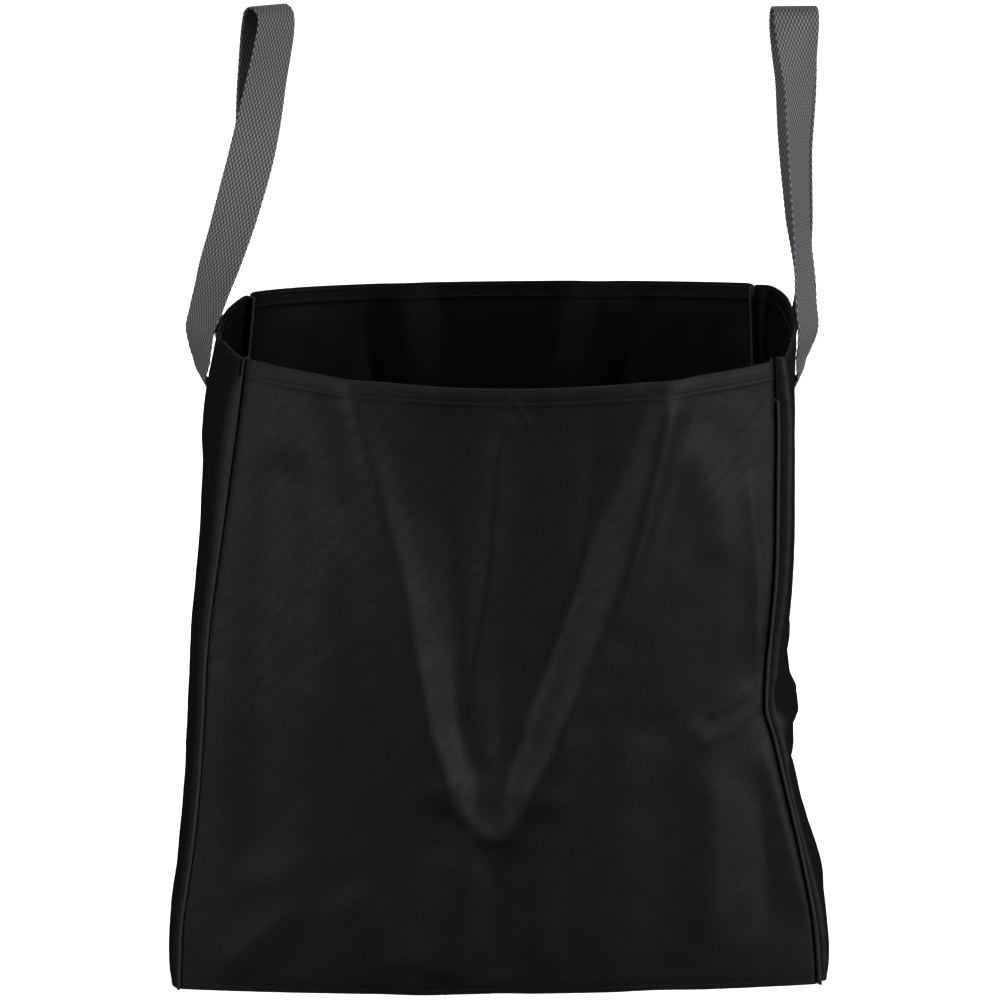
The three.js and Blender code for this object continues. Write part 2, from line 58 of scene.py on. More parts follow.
class Corner(Enum):
    """The four corner lines of the bag, each with its bound seam."""

    FRONT_LEFT = "front_left"
    FRONT_RIGHT = "front_right"
    BACK_RIGHT = "back_right"
    BACK_LEFT = "back_left"


class Side(Enum):
    """The four walls, counter-clockwise seen from above."""

    FRONT = "front"
    RIGHT = "right"
    BACK = "back"
    LEFT = "left"


class Slot(Enum):
    """The finishes that the part's record names."""

    CLOTH = "cloth"
    BINDING = "binding"
    WEBBING = "webbing"


def smooth(value: Array) -> Array:
    """Return the value held from 0 to 1 and eased at both ends."""
    held = np.clip(value, 0.0, 1.0)
    return held * held * (3 - 2 * held)


def lengths(vectors: Array) -> Array:
    """Return the length of each vector, kept as a last axis of one."""
    return np.linalg.norm(vectors, axis=-1, keepdims=True)


def unit(vectors: Array) -> Array:
    """Return each vector at length 1."""
    return vectors / lengths(vectors)


def rows_curve(rows: tuple, column: int, at: Array) -> Array:
    """Read a smooth value between the rows of a table, with no overshoot.

    Args:
        rows: Rows sorted by their first column.
        column: The column that is read.
        at: Places along the first column.

    Returns:
        The value at each place.
    """
    keys = np.array([row[0] for row in rows])
    values = np.array([row[column] for row in rows])
    steps = np.diff(keys)
    slopes = np.diff(values) / steps
    tangents = np.concatenate([slopes[:1], np.zeros(len(keys) - 2), slopes[-1:]])
    for k in range(1, len(keys) - 1):
        if slopes[k - 1] * slopes[k] > 0:
            before = 2 * steps[k] + steps[k - 1]
            after = steps[k] + 2 * steps[k - 1]
            tangents[k] = (before + after) / (before / slopes[k - 1] + after / slopes[k])
    place = np.clip(at, keys[0], keys[-1])
    i = np.clip(np.searchsorted(keys, place, side="right") - 1, 0, len(steps) - 1)
    t = (place - keys[i]) / steps[i]
    start = (1 + 2 * t) * (1 - t) ** 2 * values[i]
    end = t * t * (3 - 2 * t) * values[i + 1]
    bend = t * (1 - t) * ((1 - t) * tangents[i] - t * tangents[i + 1]) * steps[i]
    return start + end + bend


def flowing_line(points: Array, steps: int) -> Array:
    """Run a smooth curve through points.

    Args:
        points: The points, one row each.
        steps: How many steps the curve takes between two points.

    Returns:
        The points of the curve.
    """
    padded = np.vstack([2 * points[0] - points[1], points, 2 * points[-1] - points[-2]])
    spans = np.linalg.norm(np.diff(padded, axis=0), axis=1) ** 0.5
    line = []
    for k in range(1, len(padded) - 2):
        p0, p1, p2, p3 = padded[k - 1 : k + 3]
        d0, d1, d2 = spans[k - 1 : k + 2]
        leave = ((p1 - p0) / d0 - (p2 - p0) / (d0 + d1) + (p2 - p1) / d1) * d1
        reach = ((p2 - p1) / d1 - (p3 - p1) / (d1 + d2) + (p3 - p2) / d2) * d1
        for t in np.arange(steps) / steps:
            line.append(
                p1 + leave * t
                + (-3 * p1 + 3 * p2 - 2 * leave - reach) * t**2
                + (2 * p1 - 2 * p2 + leave + reach) * t**3
            )
    return np.array([*line, points[-1]])


def cloudy(points: Array, size: float, seed: float) -> Array:
    """Return soft noise from -1 to 1 at each point.

    Args:
        points: Points of any grid, in metres.
        size: The size of one cloud.
        seed: A number that moves the pattern.

    Returns:
        One value for each point.
    """
    flat = (points.reshape(-1, points.shape[-1]) / size + seed).tolist()
    values = [noise.noise(point, noise_basis="PERLIN_ORIGINAL") for point in flat]
    return np.array(values).reshape(points.shape[:-1])


@dataclass(frozen=True)
class Fold:
    """A long soft fold: a ridge, or a groove where its height is negative.

    start and end are points across and up the wall. width is half its width as a share of the bag's width,
    and height is a share of half the bag's depth.
    """

    start: tuple[float, float]
    end: tuple[float, float]
    width: float
    height: float

    def height_at(self, across: Array, up: Array, bag: "BagForm") -> Array:
        """Return how far the fold stands out at places on its wall."""
        size = np.array([bag.width, bag.height])
        run = (np.array(self.end) - self.start) * size
        x = (across - self.start[0]) * size[0]
        y = (up - self.start[1]) * size[1]
        length = np.hypot(*run)
        along = (x * run[0] + y * run[1]) / length
        beside = np.abs(x * run[1] - y * run[0]) / length
        over = np.maximum(np.maximum(-along, along - length), 0)
        distance = np.clip(np.hypot(over, beside) / (self.width * bag.width), 0, 1)
        return self.height * bag.depth / 2 * (0.5 + 0.5 * np.cos(math.pi * distance))


@dataclass(frozen=True)
class Crease:
    """A crease with its own width on each side of its line, in metres.

    path runs down the wall, or from left to right. before is the half width on its left or lower side,
    and beyond on its right or upper side. height is how far the line stands out, rounding how soft its
    crest is, and fade the shares of its length over which it grows and dies away.
    """

    path: tuple[tuple[float, float], ...]
    before: float
    beyond: float
    height: float
    rounding: float = 0.25
    fade: tuple[float, float] = (0.25, 0.25)

    def height_at(self, across: Array, up: Array, bag: "BagForm") -> Array:
        """Return how far the crease stands out at places on its wall."""
        size = np.array([bag.width, bag.height])
        line = flowing_line(np.array(self.path), 5) * size
        x, y = np.broadcast_arrays(across * size[0], up * size[1])
        nearest = np.full(x.shape, np.inf)
        side = np.zeros(x.shape)
        along = np.zeros(x.shape)
        done = 0.0
        for first, second in zip(line[:-1], line[1:]):
            run = second - first
            length = np.hypot(*run)
            px, py = x - first[0], y - first[1]
            t = np.clip((px * run[0] + py * run[1]) / length**2, 0, 1)
            distance = np.hypot(px - t * run[0], py - t * run[1])
            nearer = distance < nearest
            nearest = np.where(nearer, distance, nearest)
            side = np.where(nearer, run[0] * py - run[1] * px, side)
            along = np.where(nearer, done + t * length, along)
            done += length
        t = nearest / np.where(side > 0, self.beyond, self.before)
        soft = self.rounding
        crest = (np.sqrt(t * t + soft * soft) - soft) / (math.sqrt(1 + soft * soft) - soft)
        share = along / done
        grow = smooth(share / self.fade[0]) if self.fade[0] else 1.0
        die = smooth((1 - share) / self.fade[1]) if self.fade[1] else 1.0
        return self.height * np.clip(1 - crest, 0, 1) ** 2 * grow * die


@dataclass(frozen=True)
class WallForm:
    """The shape of one wall.

    The columns of bulge are: the height share; how far the middle stands out from the line between its
    corners, as a share of half the bag's depth; where across it the wall stands out most; and how soon it
    is that full, sooner for a lower number. rim_dip is how far the rim hangs at its middle, as a share of
    the bag's height; roll is how far the bottom edge turns in where the wall is full.
    """

    start: Corner
    end: Corner
    rim_dip: float
    roll: float
    bulge: tuple[tuple[float, float, float, float], ...]
    folds: tuple[Fold, ...]
    creases: tuple[Crease, ...] = ()


# The corner lines. The columns are: the height share; the place across, as a share of half the bag's
# width; and the place from front to back, as a share of half its depth.
CORNERS = {
    Corner.FRONT_LEFT: (
        (0.0, -1.01, -1.03),
        (0.1, -1.0, -1.02),
        (0.16, -0.983, -1.01),
        (0.26, -0.954, -0.995),
        (0.41, -0.928, -0.975),
        (0.56, -0.908, -0.955),
        (0.7, -0.868, -0.935),
        (0.84, -0.827, -0.91),
        (1.0, -0.782, -0.865),
    ),
    Corner.FRONT_RIGHT: (
        (0.0, 1.01, -0.955),
        (0.08, 0.997, -0.95),
        (0.22, 0.944, -0.94),
        (0.3, 0.906, -0.935),
        (0.4, 0.858, -0.93),
        (0.455, 0.829, -0.925),
        (0.5, 0.832, -0.92),
        (0.7, 0.857, -0.91),
        (0.86, 0.856, -0.905),
        (1.0, 0.846, -0.92),
    ),
    Corner.BACK_RIGHT: (
        (0.0, 1.0, 1.0),
        (0.25, 0.95, 1.01),
        (0.5, 0.9, 1.04),
        (1.0, 0.856, 1.17),
    ),
    Corner.BACK_LEFT: (
        (0.0, -1.0, 1.0),
        (0.25, -0.965, 0.98),
        (0.5, -0.93, 0.93),
        (1.0, -0.832, 0.84),
    ),
}

# The wedge-shaped dent of the front, row by row up the wall. The columns are: the height share; its left
# and right edges across the wall; how wide its sides slope; and its depth as a share of half the bag's depth.
DENT = (
    (0.26, 0.43, 0.55, 0.045, 0.0),
    (0.33, 0.42, 0.57, 0.06, 0.05),
    (0.42, 0.4, 0.63, 0.075, 0.082),
    (0.56, 0.37, 0.7, 0.1, 0.1),
    (0.75, 0.3, 0.76, 0.125, 0.092),
    (0.9, 0.24, 0.79, 0.145, 0.06),
    (1.0, 0.18, 0.81, 0.15, 0.015),
)

WALLS = {
    Side.FRONT: WallForm(
        start=Corner.FRONT_LEFT,
        end=Corner.FRONT_RIGHT,
        rim_dip=0.024,
        roll=0.002,
        bulge=(
            (0.0, 0.13, 0.5, 0.95),
            (0.2, 0.19, 0.5, 0.95),
            (0.5, 0.27, 0.5, 0.95),
            (0.8, 0.36, 0.5, 0.95),
            (1.0, 0.41, 0.5, 0.95),
        ),
        folds=(
            Fold((0.2, 0.98), (0.42, 0.36), 0.075, 0.03),
            Fold((0.8, 0.98), (0.58, 0.34), 0.06, 0.032),
            Fold((0.5, 0.93), (0.485, 0.4), 0.045, 0.018),
            Fold((0.1, 0.82), (0.12, 0.25), 0.08, -0.03),
            Fold((0.44, 0.33), (0.54, 0.33), 0.06, 0.014),
            Fold((0.97, 0.46), (0.74, 0.35), 0.06, 0.008),
            Fold((0.8, 0.4), (0.74, 0.02), 0.08, -0.016),
            Fold((0.45, 0.24), (0.38, 0.02), 0.08, 0.018),
            Fold((0.51, 0.22), (0.5, 0.02), 0.06, -0.012),
        ),
        creases=(
            Crease(((0.485, 0.94), (0.483, 0.8), (0.482, 0.68), (0.474, 0.52), (0.466, 0.36)),
                   0.034, 0.013, 0.0028, 0.1, (0.1, 0.3)),
            Crease(((0.41, 0.93), (0.44, 0.7), (0.45, 0.36)), 0.024, 0.024, -0.0007, 0.6),
            Crease(((0.655, 0.98), (0.655, 0.8), (0.64, 0.66), (0.6, 0.5), (0.57, 0.42)),
                   0.018, 0.022, -0.0012, 0.15),
            Crease(((0.2, 0.985), (0.255, 0.87), (0.315, 0.73), (0.36, 0.6), (0.4, 0.48),
                    (0.425, 0.36)), 0.020, 0.018, 0.0014, 0.25, (0.05, 0.2)),
            Crease(((0.8, 0.98), (0.765, 0.83), (0.735, 0.71), (0.695, 0.56), (0.64, 0.43),
                    (0.58, 0.33)), 0.026, 0.022, 0.0040, 0.25, (0.05, 0.2)),
            Crease(((0.42, 0.335), (0.46, 0.285), (0.5, 0.262), (0.54, 0.285), (0.57, 0.34)),
                   0.010, 0.018, 0.0022, 0.25),
            Crease(((0.29, 0.48), (0.34, 0.37)), 0.008, 0.008, -0.0007, 0.2),
            Crease(((0.93, 0.86), (0.955, 0.7), (0.975, 0.5)), 0.020, 0.010, 0.0022, 0.12),
            Crease(((0.8, 0.93), (0.88, 0.78), (0.9, 0.66)), 0.028, 0.024, 0.002, 0.5),
            Crease(((0.88, 0.44), (0.97, 0.49)), 0.008, 0.012, 0.0009, 0.25),
            Crease(((0.84, 0.4), (0.92, 0.425), (0.985, 0.462)), 0.010, 0.010, 0.0008, 0.2),
            Crease(((0.965, 0.44), (0.975, 0.25), (0.98, 0.08)), 0.020, 0.012, 0.0018, 0.15),
            Crease(((0.46, 0.25), (0.44, 0.13), (0.42, 0.02)), 0.045, 0.018, 0.0024, 0.25, (0.2, 0.1)),
            Crease(((0.5, 0.24), (0.5, 0.03)), 0.014, 0.018, -0.0010, 0.4, (0.2, 0.1)),
            Crease(((0.57, 0.24), (0.56, 0.03)), 0.02, 0.02, 0.0012, 0.3),
            Crease(((0.88, 0.39), (0.82, 0.06)), 0.025, 0.025, 0.0015, 0.4),
            Crease(((0.95, 0.38), (0.91, 0.06)), 0.018, 0.018, -0.0012, 0.3),
            Crease(((0.21, 0.17), (0.06, 0.02)), 0.02, 0.02, 0.0015, 0.3),
            Crease(((0.27, 0.2), (0.36, 0.02)), 0.05, 0.02, 0.0022, 0.4),
            Crease(((0.2, 0.79), (0.23, 0.35)), 0.03, 0.03, 0.0015, 0.5),
            Crease(((0.462, 1.0), (0.463, 0.98), (0.463, 0.96)),
                   0.0025, 0.0025, -0.0012, 0.2, (0.0, 0.5)),
            Crease(((0.494, 1.0), (0.493, 0.985), (0.492, 0.965)),
                   0.0025, 0.0025, -0.0009, 0.2, (0.0, 0.5)),
            Crease(((0.5, 0.99), (0.52, 0.965), (0.548, 0.925)), 0.004, 0.004, 0.0009, 0.2),
        ),
    ),
    Side.RIGHT: WallForm(
        start=Corner.FRONT_RIGHT,
        end=Corner.BACK_RIGHT,
        rim_dip=0.0,
        roll=0.004,
        bulge=(
            (0.0, 0.06, 0.42, 0.7),
            (0.12, 0.065, 0.42, 0.7),
            (0.27, 0.015, 0.42, 0.7),
            (0.38, 0.065, 0.42, 0.7),
            (0.5, 0.08, 0.42, 0.7),
            (0.6, 0.092, 0.4, 0.65),
            (0.74, 0.084, 0.36, 0.5),
            (0.88, 0.083, 0.36, 0.5),
            (1.0, 0.138, 0.66, 0.42),
        ),
        folds=(
            Fold((0.05, 0.47), (0.7, 0.53), 0.035, -0.05),
            Fold((0.05, 0.42), (0.6, 0.38), 0.03, 0.03),
            Fold((0.05, 0.33), (0.7, 0.28), 0.04, -0.03),
        ),
        creases=(
            Crease(((0.04, 0.505), (0.2, 0.515), (0.42, 0.53)), 0.006, 0.010, 0.0018, 0.12),
            Crease(((0.03, 0.455), (0.2, 0.45), (0.45, 0.47)), 0.008, 0.006, -0.0016, 0.12),
            Crease(((0.04, 0.415), (0.25, 0.4), (0.5, 0.36)), 0.008, 0.010, 0.0014, 0.15),
            Crease(((0.25, 1.0), (0.245, 0.98), (0.24, 0.95)), 0.004, 0.003, -0.0015, 0.2, (0.0, 0.5)),
            Crease(((0.62, 0.8), (0.6, 0.5), (0.66, 0.15)), 0.03, 0.02, 0.0018, 0.4),
            Crease(((0.3, 0.33), (0.36, 0.05)), 0.02, 0.012, 0.0016, 0.25),
        ),
    ),
    Side.BACK: WallForm(
        start=Corner.BACK_RIGHT,
        end=Corner.BACK_LEFT,
        rim_dip=0.006,
        roll=0.002,
        bulge=((0.0, 0.1, 0.5, 0.7), (0.5, 0.24, 0.5, 0.7), (1.0, 0.37, 0.62, 0.5)),
        folds=(
            Fold((0.3, 0.95), (0.42, 0.3), 0.08, -0.06),
            Fold((0.68, 0.95), (0.6, 0.35), 0.08, -0.05),
        ),
        creases=(
            Crease(((0.22, 0.98), (0.3, 0.7), (0.38, 0.4)), 0.020, 0.014, 0.0022, 0.2),
            Crease(((0.77, 0.98), (0.7, 0.7), (0.62, 0.38)), 0.014, 0.020, 0.0022, 0.2),
            Crease(((0.5, 0.9), (0.51, 0.6), (0.49, 0.3)), 0.014, 0.026, 0.0020, 0.12),
            Crease(((0.44, 0.27), (0.5, 0.24), (0.56, 0.28)), 0.010, 0.014, 0.0025, 0.2),
            Crease(((0.52, 0.2), (0.56, 0.03)), 0.014, 0.035, 0.0024, 0.2),
            Crease(((0.12, 0.6), (0.16, 0.3), (0.1, 0.06)), 0.025, 0.018, 0.0018, 0.4),
            Crease(((0.86, 0.7), (0.9, 0.4), (0.84, 0.1)), 0.02, 0.026, 0.0018, 0.4),
        ),
    ),
    Side.LEFT: WallForm(
        start=Corner.BACK_LEFT,
        end=Corner.FRONT_LEFT,
        rim_dip=0.0,
        roll=0.004,
        bulge=(
            (0.0, 0.075, 0.6, 0.7),
            (0.2, 0.06, 0.6, 0.7),
            (0.5, 0.075, 0.6, 0.7),
            (0.7, 0.095, 0.62, 0.7),
            (0.77, 0.113, 0.66, 0.7),
            (0.9, 0.136, 0.66, 0.75),
            (0.95, 0.134, 0.6, 0.8),
            (1.0, 0.117, 0.5, 1.05),
        ),
        folds=(
            Fold((0.45, 0.6), (0.7, 0.12), 0.06, -0.03),
            Fold((0.72, 1.0), (0.74, 0.86), 0.06, 0.014),
        ),
        creases=(
            Crease(((0.36, 0.7), (0.4, 0.4), (0.34, 0.12)), 0.02, 0.028, 0.0018, 0.35),
            Crease(((0.6, 0.62), (0.7, 0.36), (0.84, 0.14)), 0.014, 0.022, 0.0016, 0.2),
            Crease(((0.82, 0.9), (0.86, 0.6), (0.9, 0.35)), 0.018, 0.012, 0.0012, 0.3),
        ),
    ),
}


@dataclass(frozen=True)
class Stand:
    """How a bound seam stands.

    across and along are the direction that it points away from the bag, lean how far it is turned towards
    the gusset, in degrees, drop how far below the rim its square end is, and meets the share of its width
    at which the cloth on both sides meets it.
    """

    across: int
    along: int
    lean: float
    drop: float
    meets: float


SEAMS = {
    Corner.FRONT_LEFT: Stand(-1, -1, 14.0, 0.001, 0.62),
    Corner.FRONT_RIGHT: Stand(1, -1, 14.0, 0.027, 0.0),
    Corner.BACK_RIGHT: Stand(1, 1, 30.0, 0.001, 0.5),
    Corner.BACK_LEFT: Stand(-1, 1, 30.0, 0.001, 0.5),
}


@dataclass(frozen=True)
class BagForm:
    """The named sizes of the bag and the surfaces that follow from them."""

    width: float = 0.416
    depth: float = 0.256
    height: float = 0.410
    cloth: float = 0.0012
    hem_depth: float = 0.012
    hem_layers: int = 2
    hem_spread: float = 0.030
    roll_height: float = 0.012
    seam_inset: float = 0.005
    binding_thickness: float = 0.0020
    binding_width: float = 0.0075
    shoulder: float = 0.009
    seam_gap: float = 0.00052
    base_corner_inset: float = 0.009
    hem_stitches: tuple[float, float] = (0.0022, 0.010)
    foot_stitches: float = 0.0035

    def corner(self, name: Corner, up: Array) -> Array:
        """Return the corner line's place in plan at each height share."""
        rows = CORNERS[name]
        x = rows_curve(rows, 1, up) * self.width / 2
        y = rows_curve(rows, 2, up) * self.depth / 2
        return np.stack([x, y], axis=-1)

    def chord(self, side: Side, up: Array) -> Array:
        """Return the run from a wall's start corner to its end corner."""
        wall = WALLS[side]
        return self.corner(wall.end, up) - self.corner(wall.start, up)

    def seam_direction(self, name: Corner) -> Array:
        """Return the direction in plan in which a bound seam stands out."""
        stand = SEAMS[name]
        angle = math.radians(stand.lean)
        return np.array([stand.across * math.sin(angle), stand.along * math.cos(angle)])

    def inside_corner(self, name: Corner, up: Array, inset: float) -> Array:
        """Return a point in from a corner, by the same distance along both walls."""
        place = self.corner(name, up)
        for side, wall in WALLS.items():
            away = unit(self.chord(side, up))
            if wall.start is name:
                place = place + away * inset
            if wall.end is name:
                place = place - away * inset
        return place

    @property
    def hem_start(self) -> float:
        """The height share from which the cloth is the hem's layers thick."""
        return 1 - (self.hem_depth + self.cloth / 2) / self.height

    def cloth_room(self, up: Array) -> Array:
        """Return the room that the cloth takes up beside a seam, which widens below the hem."""
        widening = smooth(1 + (up - self.hem_start) * self.height / self.hem_spread)
        return self.cloth * (1 + (self.hem_layers - 1) * widening)

    def wall_edge(self, name: Corner, away: Array, up: Array) -> Array:
        """Return the edge of a wall's cloth beside a bound seam."""
        direction = self.seam_direction(name)
        beside = np.array([-direction[1], direction[0]])
        beside = beside * np.where((away * beside).sum(-1, keepdims=True) < 0, -1.0, 1.0)
        edge = self.inside_corner(name, up, self.seam_inset)
        outward = np.stack([away[..., 1], -away[..., 0]], axis=-1)
        outward = outward * np.where((outward * edge).sum(-1, keepdims=True) < 0, -1.0, 1.0)
        facing = np.clip((outward * beside).sum(-1, keepdims=True), 0, None)
        reach = self.binding_thickness / 2 + self.seam_gap + self.cloth_room(up)[..., None] * facing
        return edge + beside * reach + direction * SEAMS[name].meets * self.binding_width

    def dent_depth(self, across: Array, up: Array) -> Array:
        """Return how deep the wedge-shaped dent of the front is."""
        left, right, slope, depth = (rows_curve(DENT, column, up) for column in (1, 2, 3, 4))
        between = smooth((across - left) / slope) * smooth((right - across) / slope)
        return np.where(up < DENT[0][0], 0.0, depth * self.depth / 2 * between)

    def plain_points(self, side: Side, across: Array, up: Array, creased: bool = True) -> Array:
        """Return points of a wall before its cloth turns in at the bound seams.

        Args:
            side: The wall.
            across: Shares across it, from its start corner.
            up: Shares of the bag's height.
            creased: Whether the fine creases are in it.

        Returns:
            The points, one for each pair of shares.
        """
        wall = WALLS[side]
        across, up = np.broadcast_arrays(across, up)
        chord = self.chord(side, up)
        outward = unit(np.stack([chord[..., 1], -chord[..., 0]], axis=-1))
        fullness, peak, roundness = (rows_curve(wall.bulge, column, up) for column in (1, 2, 3))
        skewed = across ** (math.log(0.5) / np.log(peak))
        arch = np.clip(4 * skewed * (1 - skewed), 0, None) ** roundness
        low = 1 - np.clip(up * self.height / self.roll_height, 0, 1)
        out = fullness * self.depth / 2 * arch - wall.roll * low**2 * np.minimum(arch, 1)
        for fold in wall.folds:
            out = out + fold.height_at(across, up, self)
        if creased:
            for crease in wall.creases:
                out = out + crease.height_at(across, up, self)
        if side is Side.FRONT:
            out = out - self.dent_depth(across, up)
        flat = self.corner(wall.start, up) + chord * across[..., None] + outward * out[..., None]
        z = self.height * (up - wall.rim_dip * arch * up**3)
        return np.concatenate([flat, z[..., None]], axis=-1)

    def wall_points(self, side: Side, across: Array, up: Array, creased: bool = True) -> Array:
        """Return points on the outside of a wall, rounded down into its bound seams."""
        wall = WALLS[side]
        across, up = np.broadcast_arrays(across, up)
        chord = self.chord(side, up)
        run = lengths(chord)
        away = chord / run
        points = self.plain_points(side, across, up, creased)
        ends = (
            (wall.start, 0.0, away, across[..., None] * run),
            (wall.end, 1.0, -away, (1 - across[..., None]) * run),
        )
        for corner, at, heading, distance in ends:
            turn = (1 - np.clip(distance / self.shoulder, 0, 1)) ** 2
            edge = self.wall_edge(corner, heading, up)
            plain = self.plain_points(side, np.full_like(across, at), up, False)[..., :2]
            points[..., :2] += turn * (edge - plain)
        return points


def grid_normals(points: Array) -> Array:
    """Return the outward normals of a grid of points that runs across and up."""
    along = np.gradient(points, axis=0)
    upward = np.gradient(points, axis=1)
    return unit(np.cross(along, upward))


@dataclass
class Draft:
    """The vertices, faces, UV places and finishes of a mesh while it is made."""

    points: list = field(default_factory=list)
    places: list = field(default_factory=list)
    wear: list = field(default_factory=list)
    faces: list = field(default_factory=list)
    finishes: list = field(default_factory=list)
    count: int = 0

    def add_grid(self, points: Array, places: Array, wear: Array, finish: Array, closed: bool) -> Array:
        """Add a grid of points and the quads between them.

        Args:
            points: The grid, which faces outwards along its first run crossed with its second.
            places: The UV place of each point.
            wear: How worn the piece is at each point, from 0 to 1.
            finish: The finish of each row of quads along the second run.
            closed: Whether the second run ends where it starts.

        Returns:
            The number of each point.
        """
        numbers = np.arange(points.shape[0] * points.shape[1]).reshape(points.shape[:2]) + self.count
        self.count += numbers.size
        self.points.append(points.reshape(-1, 3))
        self.places.append(places.reshape(-1, 2))
        self.wear.append(np.broadcast_to(wear, points.shape[:2]).reshape(-1))
        wrapped = np.hstack([numbers, numbers[:, :1]]) if closed else numbers
        quads = np.stack([wrapped[:-1, :-1], wrapped[1:, :-1], wrapped[1:, 1:], wrapped[:-1, 1:]], axis=-1)
        self.faces.extend(quads.reshape(-1, 4).tolist())
        self.finishes.extend(np.broadcast_to(finish, quads.shape[:2]).reshape(-1).tolist())
        return numbers

    def add_faces(self, faces: Array, finish: int = 0) -> None:
        """Add faces between points that are already there."""
        self.faces.extend(faces.tolist())
        self.finishes.extend([finish] * len(faces))

    def build(self, name: str, materials: list, sharp: float = 50.0) -> bpy.types.Object:
        """Turn the draft into an object of the scene.

        Args:
            name: The object's name.
            materials: Its finishes, in the order that the faces name them.
            sharp: Edges that bend by more degrees than this look sharp.

        Returns:
            The new object.
        """
        mesh = bpy.data.meshes.new(name)
        mesh.from_pydata(np.concatenate(self.points).tolist(), [], self.faces)
        for material in materials:
            mesh.materials.append(material)
        mesh.polygons.foreach_set("material_index", self.finishes)
        corners = np.zeros(len(mesh.loops), dtype=np.int32)
        mesh.loops.foreach_get("vertex_index", corners)
        layer = mesh.uv_layers.new(name="cloth_place")
        layer.data.foreach_set("uv", np.concatenate(self.places)[corners].ravel())
        worn = mesh.attributes.new("wear", "FLOAT", "POINT")
        worn.data.foreach_set("value", np.concatenate(self.wear))
        mesh.shade_smooth()
        mesh.set_sharp_from_angle(angle=math.radians(sharp))
        mesh.validate()
        made = bpy.data.objects.new(name, mesh)
        bpy.context.scene.collection.objects.link(made)
        return made


class Graph:
    """A material's node tree, with short ways to add and join nodes."""

    def __init__(self, name: str) -> None:
        """Start a material that holds one Principled shader."""
        self.material = bpy.data.materials.new(name)
        self.material.use_nodes = True
        self.tree = self.material.node_tree
        self.tree.nodes.clear()
        self.shader = self.tree.nodes.new("ShaderNodeBsdfPrincipled")
        output = self.tree.nodes.new("ShaderNodeOutputMaterial")
        self.tree.links.new(self.shader.outputs["BSDF"], output.inputs["Surface"])

    def put(self, socket: Socket, value: Value) -> None:
        """Join a socket to another, or set its value."""
        if isinstance(value, bpy.types.NodeSocket):
            self.tree.links.new(value, socket)
        else:
            socket.default_value = value

    def node(self, kind: str, inputs: dict, **settings: object) -> bpy.types.Node:
        """Add a node with its settings and inputs."""
        made = self.tree.nodes.new(kind)
        for key, value in settings.items():
            setattr(made, key, value)
        for key, value in inputs.items():
            self.put(made.inputs[key], value)
        return made

    def math(self, operation: str, *values: Value) -> Socket:
        """Add a Math node and return its result."""
        return self.node("ShaderNodeMath", dict(enumerate(values)), operation=operation).outputs[0]

    def place(self) -> tuple[Socket, Socket]:
        """Return the two runs of the piece's UV map, in metres."""
        uv = self.node("ShaderNodeUVMap", {}, uv_map="cloth_place").outputs["UV"]
        parts = self.node("ShaderNodeSeparateXYZ", {0: uv})
        return parts.outputs["X"], parts.outputs["Y"]

    def clouds(self, scale: float, detail: float = 2.0, roughness: float = 0.5) -> Socket:
        """Return soft noise on the object's own coordinates, from 0 to 1."""
        spot = self.node("ShaderNodeTexCoord", {}).outputs["Object"]
        values = {"Vector": spot, "Scale": scale, "Detail": detail, "Roughness": roughness}
        return self.node("ShaderNodeTexNoise", values).outputs["Fac"]

    def wave(self, run: Socket, pitch: float) -> Socket:
        """Return a sine along a run, from -1 to 1, with one wave for each pitch."""
        return self.math("SINE", self.math("MULTIPLY", run, 2 * math.pi / pitch))

    def spread(self, value: Socket, low: float, high: float) -> Socket:
        """Return a value from 0 to 1 spread from low to high."""
        return self.math("MULTIPLY_ADD", value, high - low, low)

    def held(self, value: Socket) -> Socket:
        """Return a value held from 0 to 1."""
        return self.math("MINIMUM", self.math("MAXIMUM", value, 0.0), 1.0)

    def blend(self, factor: Socket, first: Value, second: Value) -> Socket:
        """Return a colour between two."""
        made = self.node("ShaderNodeMix", {"Factor": factor}, data_type="RGBA")
        for key, colour in (("A_Color", first), ("B_Color", second)):
            socket = next(s for s in made.inputs if s.identifier == key)
            self.put(socket, (*colour, 1.0) if isinstance(colour, tuple) else colour)
        return next(s for s in made.outputs if s.identifier == "Result_Color")

    def bump(self, height: Socket, distance: float, strength: float = 1.0, normal: Socket = None) -> Socket:
        """Return a normal raised by a height."""
        inputs = {"Height": height, "Distance": distance, "Strength": strength}
        if normal is not None:
            inputs["Normal"] = normal
        return self.node("ShaderNodeBump", inputs).outputs["Normal"]

    def finish(self, **inputs: Value) -> bpy.types.Material:
        """Set the shader's sockets by name and return the material."""
        for key, value in inputs.items():
            colour = isinstance(value, tuple) and len(value) == 3
            self.put(self.shader.inputs[key.replace("_", " ")], (*value, 1.0) if colour else value)
        return self.material


